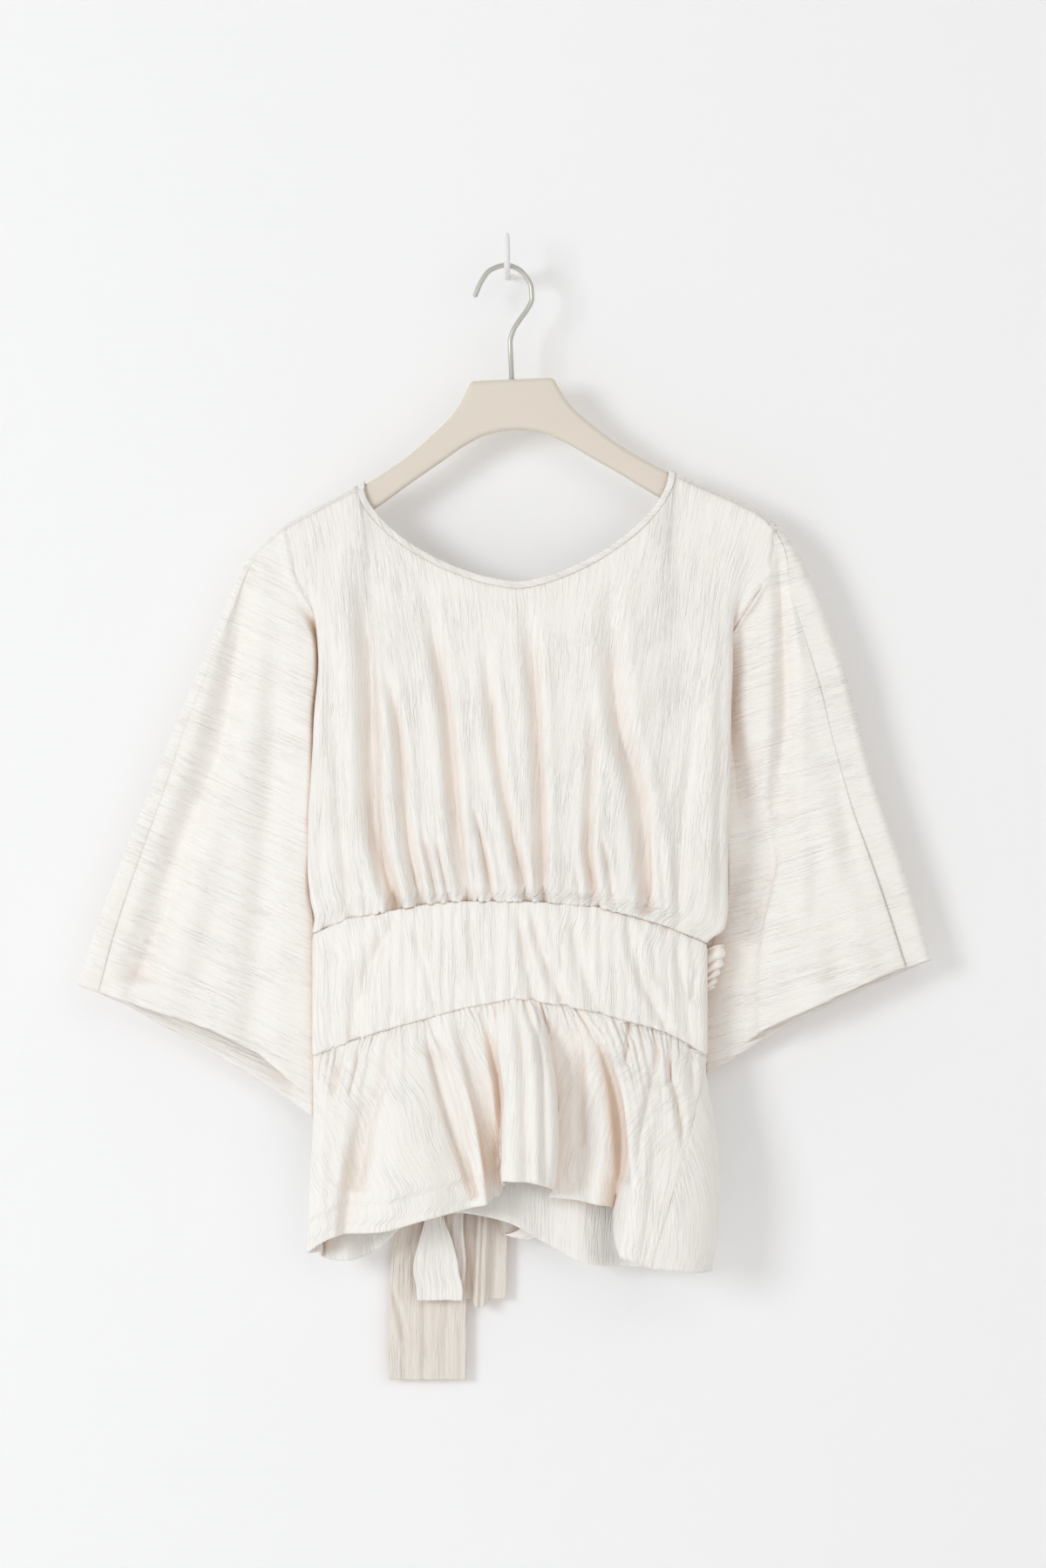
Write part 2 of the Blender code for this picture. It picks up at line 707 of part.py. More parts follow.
def back_sleeve(side, u, w):
    def line_body(s, v):
        return back_line(side, v)

    x, z, from_line, line_y = sleeve_patch(side, line_body, "strip", "back", INNER_FRONT_Y[side] + LAP + 1.4 * SEAM_GAP, u, w)
    fx, fy, fz, inside = fold_back_over(EDGES[side], x, z)
    y = fy + (by_height(SLEEVE_DEPTH, "back", fz) - fy) * ease((inside - 8) / 50)
    opened = openness(v_of_w("strip", w))
    hold = (1 - ease(from_line / 22)) * opened * (inside > 0)
    return fx, y + (line_y - y) * hold, fz


# Band


def band_front(s, v):
    """The shaped waistband between its two side seams."""
    def flat(s, v):
        low_l, low_r = flat_side(-1, -560.0), flat_side(1, -560.0)
        x = low_l + (low_r - low_l) * s
        top = np.interp(x, BAND["x"], BAND["top"]) - SEAM_GAP / 2
        bottom = np.interp(x, BAND["x"], BAND["bottom"]) + SEAM_GAP / 2
        z = top + (bottom - top) * v
        t = across_face(s) * 2 - 1
        crown = 1 - np.abs(t) ** 2.4
        y = by_height(DEPTH, "edge", z) * (1 - crown) + by_height(DEPTH, "centre", z) * crown
        ripple = gathers(FRONT_MARKS, across_face(s)) * 0.5
        return x, y - ripple * ease((1 - np.abs(t)) / 0.08), z

    x, y, z = flat(s, v)
    for side in (-1, 1):
        tx, ty, _ = turned(flat, side, s, v, np.ones(np.shape(s)))
        mine = s < 0.5 if side < 0 else s >= 0.5
        x, y = np.where(mine, tx, x), np.where(mine, ty, y)
    return x, y, z


def band_back(s, v):
    ends = [[float(c) for c in band_front(np.float64(end), np.float64(0.5))] for end in (0.0, 1.0)]
    x = ends[0][0] - 1 + (ends[1][0] - ends[0][0] + 2) * s
    top = np.interp(x, BACK_BAND["x"], BACK_BAND["top"]) - SEAM_GAP / 2
    bottom = np.interp(x, BACK_BAND["x"], BACK_BAND["bottom"]) + SEAM_GAP / 2
    z = top + (bottom - top) * v
    line_y = ends[0][1] + LAP
    y = by_height(DEPTH, "back", z) + gathers(BACK_MARKS, s) * 0.5 * ease(np.minimum(s, 1 - s) / 0.06)
    reach = np.minimum(x - x.min(), x.max() - x)
    return x, y + (line_y - y) * (1 - ease(reach / 20)), z


# Peplum: along its upper edge, where each fold starts, where it is halfway down and at the hem

PEPLUM_FRONT = table(
    "at x_mid x_hem y_mid y_hem z_hem",
    (0, -145, -146, -36, -38, -778),
    (8, -153, -154, -40, -42, -778),
    (20, -154, -157, -50, -50, -777),
    (34, -144, -145, -58, -57, -768),
    (52, -130, -137, -58, -60, -764),
    (68, -117, -128, -52, -52, -762),
    (86, -84, -98, -66, -66, -759),
    (96, -66, -66, -64, -68, -750),
    (107, -40, -28, -54, -56, -741),
    (119, -28, -16, -64, -62, -738),
    (132, -14, -6, -56, -52, -733),
    (166, -3, -5, -64, -64, -720),
    (178, 16, 14, -82, -86, -718),
    (190, 36, 33, -70, -72, -724),
    (200, 46, 42, -50, -50, -733),
    (212, 60, 56, -54, -56, -736),
    (222, 74, 72, -62, -62, -739),
    (231, 87, 82, -52, -50, -743),
    (237, 95, 87, -72, -78, -776),
    (252, 104, 97, -78, -82, -780),
    (280, 118, 104, -74, -80, -783),
    (333, 136, 112, -74, -78, -786),
)
PEPLUM_BACK = table(
    "at x_mid x_hem y_mid y_hem z_hem",
    (0, 136.5, 112.5, -73.5, -77.5, -786),
    (3, 150, 132, -68, -74, -789),
    (6, 161, 150, -60, -66, -791),
    (9, 167, 161, -46, -52, -791),
    (12, 163, 163, -34, -38, -791),
    (20, 152, 158, -28, -28, -790),
    (45, 120, 128, -33, -36, -790),
    (75, 88, 95, -25, -24, -791),
    (105, 60, 62, -33, -36, -787),
    (135, 30, 30, -27, -28, -772),
    (170, -2, -4, -30, -30, -754),
    (205, -40, -42, -27, -28, -748),
    (235, -72, -76, -30, -32, -754),
    (265, -102, -104, -26, -26, -778),
    (295, -124, -128, -34, -38, -785),
    (325, -142, -146, -30, -30, -783),
    (343, -145, -148, -33, -36, -781),
)
FRONT_SHARE = 333.0 / 346.0


def through(first, middle, last, v):
    """A curve down a fold that starts, is halfway and ends at given values."""
    return first * (1 - v) * (1 - 2 * v) + middle * 4 * v * (1 - v) + last * v * (2 * v - 1)


def peplum(rows, start, marks, outward, s, v):
    """A gathered skirt part; start is its upper edge as x, y and z for s."""
    at = rows["at"][0] + (rows["at"][-1] - rows["at"][0]) * s
    sx, sy, sz = start(s)
    x = through(sx, follow(rows["at"], rows["x_mid"], at), follow(rows["at"], rows["x_hem"], at), v)
    y = through(sy, follow(rows["at"], rows["y_mid"], at), follow(rows["at"], rows["y_hem"], at), v)
    z = sz + (follow(rows["at"], rows["z_hem"], at) - sz) * v
    from_seam = v * 160
    rise = (0.25 + 0.75 * ease(from_seam / 9)) * np.exp(-((from_seam / 48) ** 2))
    y = y + outward * 1.9 * gathers(marks, s) * rise * ease(np.minimum(s, 1 - s) / 0.07)
    return x, y, z


PEPLUM_MARKS = gather_marks(PEPLUM_GATHERS, 0.28)
BACK_PEPLUM_MARKS = gather_marks(BACK_PEPLUM_GATHERS, 0.28)


def peplum_front(s, v):
    def start(s):
        x, y, z = band_front(s * (FRONT_SHARE - 0.0016), np.ones(np.shape(s)))
        return x, y, z - 2.5 * SEAM_GAP

    return peplum(PEPLUM_FRONT, start, PEPLUM_MARKS, -1, s, v)


def peplum_back(s, v):
    length = PEPLUM_BACK["at"][-1]
    turn = 12.5 / length

    def start(s):
        on_turn = np.clip(s / turn, 0, 1)
        fx, fy, fz = band_front(FRONT_SHARE + 0.0016 + (0.9984 - FRONT_SHARE) * on_turn, np.ones(np.shape(s)))
        bx, by, bz = band_back(1 - np.clip((s - turn) / (1 - turn), 0, 1), np.ones(np.shape(s)))
        here = s <= turn
        return np.where(here, fx, bx), np.where(here, fy, by), np.where(here, fz, bz) - 2 * SEAM_GAP

    return peplum(PEPLUM_BACK, start, BACK_PEPLUM_MARKS, 1, s, v)


# Meshes


def move_to(obj, collection):
    for holder in list(obj.users_collection):
        holder.objects.unlink(obj)
    collection.objects.link(obj)


def to_mesh(name, places, faces):
    used = sorted({i for face in faces for i in face})
    index = {old: new for new, old in enumerate(used)}
    mesh = bpy.data.meshes.new(name)
    mesh.from_pydata([tuple(places[i] * MM) for i in used], [], [[index[i] for i in face] for face in faces])
    mesh.update()
    obj = bpy.data.objects.new(name, mesh)
    parts.objects.link(obj)
    return obj


def rows_to_faces(index, strides, cut=None):
    """Faces of a grid of indices; a row with stride 2 uses every second column, and cut leaves out a neck."""
    faces = []
    count = index.shape[1] - 1
    for i in range(index.shape[0] - 1):
        wide = max(strides[i], strides[i + 1])
        for a in range(0, count, wide):
            b = a + wide
            if cut and i < cut[0] and a >= cut[1] and b <= cut[2]:
                continue
            upper = list(range(a, b + 1, strides[i]))
            lower = list(range(a, b + 1, strides[i + 1]))
            faces.append([index[i, c] for c in upper[::-1]] + [index[i + 1, c] for c in lower])
    return faces


def cloth(obj, thickness=CLOTH):
    wall = obj.modifiers.new("wall", "SOLIDIFY")
    wall.thickness = thickness * MM
    wall.offset = 0
    wall.use_even_offset = False
    obj.data.shade_smooth()
    return obj


def grid_points(place, s, v):
    ss, vv = np.meshgrid(np.asarray(s, float), np.asarray(v, float))
    return np.stack(place(ss, vv), axis=-1)


def panel(name, place, s, v, strides=None, thickness=CLOTH):
    points = grid_points(place, s, v)
    index = np.arange(points.shape[0] * points.shape[1]).reshape(points.shape[:2])
    obj = to_mesh(name, points.reshape(-1, 3), rows_to_faces(index, strides or [1] * len(v)))
    return cloth(obj, thickness)


def with_sleeves(name, body, sleeve, kind, s, v, strides, u, w_below, cut=None):
    """A body panel and its two sleeves in one surface, joined along each side line down to the underarm."""
    points = [grid_points(body, s, v)]
    shared = int(np.abs(np.asarray(v) - UNDERARM_V).argmin())
    w = list(w_of_v(kind, np.asarray(v[: shared + 1]))) + list(w_below)
    index = np.arange(points[0].shape[0] * points[0].shape[1]).reshape(points[0].shape[:2])
    faces = rows_to_faces(index, strides, cut)
    count = index.size
    places = [points[0].reshape(-1, 3)]
    for side in (-1, 1):
        piece = grid_points(lambda a, b: sleeve(side, a, b), u, w)
        own = count + np.arange(piece.shape[0] * piece.shape[1]).reshape(piece.shape[:2])
        count += own.size
        own[: shared + 1, 0] = index[: shared + 1, 0 if side < 0 else -1]
        places.append(piece.reshape(-1, 3))
        out = own if side > 0 else own[:, ::-1]
        faces += rows_to_faces(out, [1] * len(w))
    return cloth(to_mesh(name, np.concatenate(places), faces))


U = np.array([0, 0.03, 0.1, 0.24, 0.4, 0.56, 0.71, 0.83, 0.91, 0.96, 1.0])
V_FRONT = [0, 0.015, 0.04, 0.09, 0.16, 0.25, 0.36, 0.48, 0.59, UNDERARM_V, 0.78, 0.85, 0.91, 0.95, 0.98, 1.0]
W_BELOW = [0.53, 0.57, 0.61, 0.65, 0.7, 0.76, 0.83, 0.9, 0.96, 1.0]
V_BACK = [-1, -0.86, -0.7, -0.45, -0.2, 0, 0.05, 0.12, 0.24, 0.38, 0.54, UNDERARM_V, 0.8, 0.9, 0.96, 1.0]

with_sleeves("front", front_body, front_sleeve, "seam", FRONT_COLUMNS, V_FRONT, [1] * 2 + [2] * 9 + [1] * 5, U, W_BELOW)
with_sleeves(
    "back",
    back_body,
    back_sleeve,
    "strip",
    BACK_MARKS,
    V_BACK,
    [1] * 6 + [2] * 7 + [1] * 3,
    U,
    W_BELOW,
    (5, *BACK_NECK_COLUMNS),
)
panel("band_front", band_front, FRONT_COLUMNS[::2], np.linspace(0, 1, 5))
panel("band_back", band_back, BACK_MARKS[::2], [0, 0.5, 1])
panel("peplum_front", peplum_front, PEPLUM_MARKS, [0, 0.04, 0.1, 0.2, 0.34, 0.5, 0.68, 0.84, 1], [1] * 4 + [2] * 5)
panel("peplum_back", peplum_back, BACK_PEPLUM_MARKS, [0, 0.05, 0.13, 0.26, 0.42, 0.6, 0.8, 1], [1] * 4 + [2] * 4)


# Neck binding: one strip round both necklines, over each shoulder


def neck_binding(rows_across):
    """The strip's places: the front neckline, up over one shoulder, the back neckline, and over the other.

    It has a station at each column or row of the panel that it binds, so that it follows the panel's own edge.
    """
    first, last = FRONT_NECK_COLUMNS
    s = FRONT_COLUMNS[first : last + 1]
    t = (s - FRONT_NECK[0]) / (FRONT_NECK[1] - FRONT_NECK[0])
    grow, tt = np.meshgrid(rows_across, t, indexing="ij")
    fx, fz = neck_curve("seam", grow, tt)
    front = np.stack([fx, front_depth(fx, fz), fz], axis=-1)
    first, last = BACK_NECK_COLUMNS
    s = BACK_MARKS[first : last + 1]
    t = (s - BACK_NECK[0]) / (BACK_NECK[1] - BACK_NECK[0])
    grow, tt = np.meshgrid(rows_across, t[::-1], indexing="ij")
    bx, bz = neck_curve("strip", grow, tt)
    back = np.stack(back_place(bx, bz), axis=-1)
    rolls = []
    for side, rows in ((1, V_BACK[:5]), (-1, V_BACK[4::-1])):
        grow, v = np.meshgrid(rows_across, rows, indexing="ij")
        x, _ = neck_curve("strip", grow, np.full(grow.shape, 0.5 + side / 2))
        rolls.append(np.stack(back_place(*over_shoulder(side, x, -v)), axis=-1))
    return np.concatenate([front, rolls[0], back, rolls[1]], axis=1)


points = neck_binding(np.array([0.0, BINDING / 2, BINDING]))
index = np.arange(points.shape[0] * points.shape[1]).reshape(points.shape[:2])
index = np.concatenate([index, index[:, :1]], axis=1)
cloth(to_mesh("neck_binding", points.reshape(-1, 3), rows_to_faces(index, [1, 1, 1])), BINDING_THICK)

# Ties: each stretch is a strip along a route, with its width and how far its middle stands out

TIE_LEFT = table(
    "x y z width hump",
    (-146, -30, -560, 40, 0.5),
    (-142, -25, -560, 42, 0.6),
    (-128, -21.7, -561, 48, 0.8),
    (-90, -21, -562, 52, 0.8),
    (-48, -18.5, -561, 40, 1.2),
    (-21, -15, -558, 24, 1.5),
)
TIE_RIGHT = table(
    "x y z width hump",
    (152.5, -31, -562, 42, 0.5),
    (160, -36.5, -560, 40, 0.5),
    (168, -37.5, -557, 36, 0.5),
    (172.5, -33, -556, 34, 0.5),
    (168, -26, -557, 36, 0.5),
    (150, -21, -560, 44, 0.6),
    (128, -20.4, -561, 48, 0.8),
    (80, -20, -562, 52, 0.8),
    (36, -18.5, -561, 40, 1.2),
    (9, -15, -558, 24, 1.5),
)
LOOP_LEFT = table(
    "x y z width hump",
    (-14, -15.6, -577.6, 15, 1.5),
    (-27, -18.5, -640, 27, 1.5),
    (-48, -20, -740, 36, 1.2),
    (-54, -19.5, -806, 40, 0.5),
    (-54, -17, -817, 40, 0.3),
    (-54, -14.5, -806, 40, 0.3),
    (-48, -14, -740, 36, 0.3),
    (-27, -13.4, -640, 27, 0.3),
    (-14, -12, -577.6, 15, 0.3),
)
LOOP_RIGHT = table(
    "x y z width hump",
    (3.5, -15.6, -577.6, 14, 1.5),
    (8, -18.5, -640, 27, 1.5),
    (11, -20, -710, 38, 1.2),
    (11, -19.5, -754, 42, 0.5),
    (11, -17, -765, 42, 0.3),
    (11, -14.5, -754, 42, 0.3),
    (11, -14, -710, 38, 0.3),
    (8, -13.4, -640, 27, 0.3),
    (3.5, -12, -577.6, 14, 0.3),
)
TAIL_LEFT = table(
    "x y z width hump",
    (-14, -9, -577, 15, 0.3),
    (-34, -9, -650, 36, 0.8),
    (-56, -8.5, -740, 56, 1.0),
    (-63, -8, -800, 61, 1.0),
    (-64, -8, -884, 62, 1.0),
)
TAIL_RIGHT = table(
    "x y z width hump",
    (4, -9, -577, 14, 0.3),
    (0, -9, -650, 24, 1.0),
    (-8, -8.5, -740, 26, 2.5),
    (-12, -8, -824, 28, 2.5),
)
KNOT = {"x": -6.0, "y": -12.0, "z": -558.0, "width": 33.0, "depth": 12.0, "height": 38.0}
KNOT_SQUARENESS = 0.75


def strip(route, upright, pleats, s, v):
    """A strip along its route: v runs along it and s across it, edge to edge."""
    steps = [np.diff(route[n]) for n in "xyz"]
    at = np.concatenate([[0], np.cumsum(np.sqrt(sum(d * d for d in steps)))])
    along = v * at[-1]
    x, y, z, width, hump = (follow(at, route[n], along) for n in ("x", "y", "z", "width", "hump"))
    c = s - 0.5
    out = hump * (1 - (2 * c) ** 2) + 0.5 * pleats * np.cos(2 * math.pi * 3 * s)
    ends = ease(np.minimum(v, 1 - v) / 0.1)
    before, after = np.clip(along - 2, 0, at[-1]), np.clip(along + 2, 0, at[-1])
    tangent = [follow(at, route[n], after) - follow(at, route[n], before) for n in "xyz"]
    if upright:
        size = np.hypot(tangent[0], tangent[1])
        return x - out * ends * -tangent[1] / size * -1, y - out * ends * tangent[0] / size * -1, z + c * width
    size = np.hypot(tangent[1], tangent[2])
    return x + c * width, y + out * ends * tangent[2] / size, z - out * ends * tangent[1] / size


def tie(name, route, upright, stations, across=7, pleats=1.0):
    panel(name, lambda s, v: strip(route, upright, pleats, s, v), np.linspace(0, 1, across), stations)


tie("tie_left", TIE_LEFT, True, np.linspace(0, 1, 11))
tie("tie_right", TIE_RIGHT, True, np.linspace(0, 1, 17))
tie("bow_loop_left", LOOP_LEFT, False, np.linspace(0, 1, 21), 5, 0.6)
tie("bow_loop_right", LOOP_RIGHT, False, np.linspace(0, 1, 19), 5, 0.6)
tie("bow_tail_left", TAIL_LEFT, False, np.linspace(0, 1, 11))
tie("bow_tail_right", TAIL_RIGHT, False, np.linspace(0, 1, 9), 5)

bpy.ops.mesh.primitive_uv_sphere_add(segments=16, ring_count=10, radius=0.5)
knot = bpy.context.object
knot.name = knot.data.name = "bow_knot"
for vert in knot.data.vertices:
    pinch = 1 - 0.06 * math.exp(-((vert.co.z / 0.16) ** 2))
    x, z = (math.copysign(abs(2 * c) ** KNOT_SQUARENESS / 2, c) for c in (vert.co.x, vert.co.z))
    vert.co = (x * KNOT["width"] * MM * pinch, vert.co.y * KNOT["depth"] * MM, z * KNOT["height"] * MM)
knot.location = (KNOT["x"] * MM, KNOT["y"] * MM, KNOT["z"] * MM)
knot.data.shade_smooth()
move_to(knot, parts)

# Hanger: a flat outline with rounded edges, its wire hook in a hole in the plate, and the wall hook

EDGE_ROUND = 4.2
HOLE_DEPTH = 22.0
HOOK_ROUTE = table(
    "out rise",
    (-26, -18),
    (-21.5, -8.5),
    (-13, 1.5),
    (-1, 4.8),
    (8, 1.8),
    (15, -5.5),
    (18.6, -14),
    (18.8, -22),
    (14.6, -31),
    (8, -39.5),
    (2.5, -48),
    (0, -57),
    (0, -88 - HOLE_DEPTH + 2.5),
)

frame = bpy.data.objects.new("hanger_frame", None)
parts.objects.link(frame)
frame.rotation_euler = (0, -ROLL_OF_HANGER, 0)


def curve_object(name, dimensions):
    data = bpy.data.curves.new(name, "CURVE")
    data.dimensions = dimensions
    data.use_fill_caps = True
    obj = bpy.data.objects.new(name, data)
    parts.objects.link(obj)
    return obj


def spline(obj, points, cyclic=False):
    line = obj.data.splines.new("POLY")
    line.points.add(len(points) - 1)
    for point, place in zip(line.points, points):
        point.co = (*[c * MM for c in place[:3]], 1)
        point.radius = place[3] if len(place) > 3 else 1
    line.use_cyclic_u = cyclic


def as_mesh(obj):
    """The curve's own mesh with its caps welded, in the curve's place."""
    bpy.context.view_layer.update()
    graph = bpy.context.evaluated_depsgraph_get()
    mesh = bpy.data.meshes.new_from_object(obj.evaluated_get(graph))
    work = bmesh.new()
    work.from_mesh(mesh)
    bmesh.ops.remove_doubles(work, verts=work.verts, dist=1e-6)
    bmesh.ops.recalc_face_normals(work, faces=work.faces)
    work.to_mesh(mesh)
    work.free()
    name = obj.name
    made = bpy.data.objects.new(name, mesh)
    made.parent = obj.parent
    made.matrix_world = obj.matrix_world
    bpy.data.objects.remove(obj)
    made.name = name
    parts.objects.link(made)
    return made


wood = curve_object("hanger_wood", "2D")
wood.data.fill_mode = "BOTH"
wood.data.bevel_depth = EDGE_ROUND * MM
wood.data.bevel_resolution = 1
wood.data.offset = -EDGE_ROUND * MM
wood.data.extrude = (HANGER_THICK / 2 - EDGE_ROUND) * MM
upper = [(a, -b) for a, b in zip(HANGER["out"], HANGER["top"])]
lower = [(a, -b) for a, b in zip(HANGER["out"], HANGER["bottom"])]
tip = [(HANGER_TIP_OUT, -(HANGER["top"][-1] + 6.5)), (HANGER_TIP_OUT - 2, -(HANGER["bottom"][-1] - 1.5))]
half = upper[1:] + tip + lower[::-1][:-1]
outline = half + [(0, lower[0][1])] + [(-a, b) for a, b in half[::-1]]
spline(wood, [(a, PLATE_TOP_Z + b, 0) for a, b in outline], cyclic=True)
wood.parent = frame
wood.location = (0, HANGER_Y * MM, 0)
wood.rotation_euler = (math.pi / 2, 0, 0)
wood = as_mesh(wood)

bpy.ops.mesh.primitive_cylinder_add(vertices=24, radius=(WIRE / 2 + SEAM_GAP) * MM, depth=(HOLE_DEPTH + 6) * MM)
drill = bpy.context.object
drill.name = "hook_hole"
drill.parent = frame
drill.location = (0, HANGER_Y * MM, (PLATE_TOP_Z - HOLE_DEPTH + (HOLE_DEPTH + 6) / 2) * MM)
drill.hide_render = True
drill.display_type = "WIRE"
move_to(drill, cutters)
hole = wood.modifiers.new("hook_hole", "BOOLEAN")
hole.operation = "DIFFERENCE"
hole.object = drill
hole.solver = "EXACT"

wire = curve_object("hanger_wire", "3D")
wire.data.bevel_depth = WIRE / 2 * MM
wire.data.bevel_resolution = 2
steps = np.concatenate([[0], np.cumsum(np.hypot(np.diff(HOOK_ROUTE["out"]), np.diff(HOOK_ROUTE["rise"])))])
stops = np.concatenate([np.linspace(0, steps[-2], 26), [steps[-1]]])
outs, rises = (follow(steps, HOOK_ROUTE[n], stops) for n in ("out", "rise"))
spline(wire, [(a, HANGER_Y, b) for a, b in zip(outs, rises)])
wire.parent = frame

hook = curve_object("wall_hook", "3D")
hook.data.bevel_depth = SHANK / 2 * MM
hook.data.bevel_resolution = 2
BEND = 5.0
REACH = 43.0
RISE = 29.0
bend = [(0, -REACH + BEND - BEND * math.sin(a), BEND - BEND * math.cos(a)) for a in np.linspace(0, math.pi / 2, 5)]
spline(hook, [(0, 0, 0)] + bend + [(0, -REACH, RISE * 0.6, 0.92), (0, -REACH, RISE, 0.7)])

# Materials

LOOKS = {
    "cloth": ((0.86, 0.83, 0.77), 0.85, 0.0),
    "wood": ((0.76, 0.70, 0.61), 0.5, 0.0),
    "wire": ((0.66, 0.65, 0.60), 0.35, 0.6),
    "white": ((0.85, 0.85, 0.84), 0.4, 0.0),
}
MADE_OF = {"hanger_wood": "wood", "hanger_wire": "wire", "wall_hook": "white"}
for obj in parts.objects:
    if obj.type not in ("MESH", "CURVE"):
        continue
    colour, roughness, metallic = LOOKS[MADE_OF.get(obj.name, "cloth")]
    material = bpy.data.materials.new(obj.name)
    material.use_nodes = True
    shader = material.node_tree.nodes["Principled BSDF"]
    shader.inputs["Base Color"].default_value = (*colour, 1)
    shader.inputs["Roughness"].default_value = roughness
    shader.inputs["Metallic"].default_value = metallic
    obj.data.materials.append(material)
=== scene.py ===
import math

import bmesh
import bpy
import numpy as np
from mathutils import Matrix, Vector


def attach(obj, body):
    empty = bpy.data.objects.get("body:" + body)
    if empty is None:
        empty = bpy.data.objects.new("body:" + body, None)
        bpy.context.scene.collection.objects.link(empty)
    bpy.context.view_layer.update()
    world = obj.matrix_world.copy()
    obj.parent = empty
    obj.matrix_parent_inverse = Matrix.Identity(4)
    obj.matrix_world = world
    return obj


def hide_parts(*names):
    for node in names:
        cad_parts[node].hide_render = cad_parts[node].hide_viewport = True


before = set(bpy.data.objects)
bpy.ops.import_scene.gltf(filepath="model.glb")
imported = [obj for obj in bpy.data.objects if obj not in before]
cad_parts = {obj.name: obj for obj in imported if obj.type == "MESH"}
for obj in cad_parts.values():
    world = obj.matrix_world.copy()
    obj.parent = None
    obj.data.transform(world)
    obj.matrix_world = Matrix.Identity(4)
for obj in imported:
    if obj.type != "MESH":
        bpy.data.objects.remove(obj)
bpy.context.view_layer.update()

MM = 0.001


def table(columns, *rows):
    """A small table: one array for each named column."""
    return {name: np.array(values, float) for name, values in zip(columns.split(), zip(*rows))}


# Driving sizes

CLOTH = 1.2
SEAM_GAP = 0.3
LAP = CLOTH + SEAM_GAP
ROLL_OF_HANGER = math.radians(2.4)
HANGER_Y = -34.0
HANGER_THICK = 10.0
PLATE_TOP_Z = -86.0
WIRE = 4.0
SHANK = 5.0
NECK_HALF_WIDTH = 120.5
FRONT_CORNER_DROP = 83.0
BACK_CORNER_DROP = 92.5
FRONT_NECK_DROP = 78.0
BACK_NECK_DROP = 125.0
ROLL_INSET = 12.0
NECK_SQUARENESS = 1.55
BINDING = 5.4
SHOULDER_TIP = 206.0
SIDE_TURN = 22.0
SIDE_TURN_RADIUS = 6.0
TIE_WIDTH = 62.0

# Half of the wooden hanger: distance from its centre, and drops below the top of its plate

HANGER = table(
    "out top bottom",
    (0, 0, 39.0),
    (24.5, 0, 43.5),
    (33, 0, 48.0),
    (36, 6.5, 49.5),
    (42, 17.5, 52.5),
    (50, 28.0, 58.0),
    (66, 42.0, 68.0),
    (85, 57.5, 80.0),
    (102, 68.0, 91.5),
    (117, 77.0, 101.0),
    (143, 90.0, 111.5),
    (175, 105.5, 125.0),
    (194, 116.5, 133.5),
)
HANGER_TIP_OUT = 200.0
COVER = 2.3

# Outer edges of the garment below the hanger, where the back turns over to the front:
# how far in from the edge the seam shows on the front, and half the thickness of the fold

OUTER_LEFT = table(
    "x z seam_in half_depth mid_y",
    (-207, -231, 3.0, 7.6, -33.4),
    (-224, -268, 4.5, 7.0, -32.0),
    (-243, -313, 6.0, 6.5, -31.0),
    (-264, -362, 8.0, 6.0, -30.0),
    (-285, -415, 11.0, 6.0, -29.0),
    (-306, -467, 13.0, 5.5, -28.5),
    (-327, -523, 15.5, 5.5, -28.0),
    (-341, -567, 18.0, 5.0, -28.0),
)
OUTER_RIGHT = table(
    "x z seam_in half_depth mid_y",
    (226, -216, 8.0, 7.6, -33.4),
    (238, -238, 15.0, 7.2, -32.6),
    (251, -268, 21.0, 7.0, -32.0),
    (268, -315, 23.0, 6.5, -31.0),
    (281, -366, 23.0, 6.0, -30.0),
    (296, -419, 23.0, 6.0, -29.0),
    (309, -457, 22.5, 5.5, -28.5),
    (324, -503, 22.0, 5.5, -28.0),
    (337, -547, 21.0, 5.0, -28.0),
)

# The body's visible side edges, and how far forward the cloth stands at the centre and at the sides

SIDES = table(
    "z left right",
    (-200, -158, 197),
    (-230, -154, 193),
    (-262, -153, 188),
    (-320, -150, 186),
    (-359, -153, 183),
    (-401, -155, 181),
    (-440, -157, 178),
    (-478, -158, 176),
    (-506, -155, 175),
    (-522, -151, 171),
    (-533, -152, 157),
    (-583, -150, 155),
    (-621, -148, 154),
)
DEPTH = table(
    "z centre edge back",
    (-160, -42, -42, -26),
    (-240, -46, -45, -22),
    (-330, -52, -48, -20),
    (-430, -57, -48, -21),
    (-500, -62, -46, -24),
    (-560, -61, -46, -24),
    (-620, -61, -46, -24),
)
SLEEVE_DEPTH = table(
    "z front back",
    (-190, -42, -26),
    (-330, -41, -22),
    (-450, -40, -20),
    (-560, -39, -19),
    (-670, -37, -19),
)

# The shaped front band, and the band across the back

BAND = table(
    "x top bottom",
    (-152, -525, -622),
    (-127, -513, -612),
    (-99, -508, -602),
    (-64, -501.5, -592),
    (-36, -499, -584),
    (6, -499, -576),
    (34, -500, -580),
    (69, -503, -587),
    (97, -510, -595),
    (125, -518, -603),
    (142, -525, -612),
    (157, -533, -622),
)
BACK_BAND = table("x top bottom", (-152, -524, -623), (0, -528, -612), (157, -532, -623))

# Cuffs, from the underarm seam out to the overarm edge

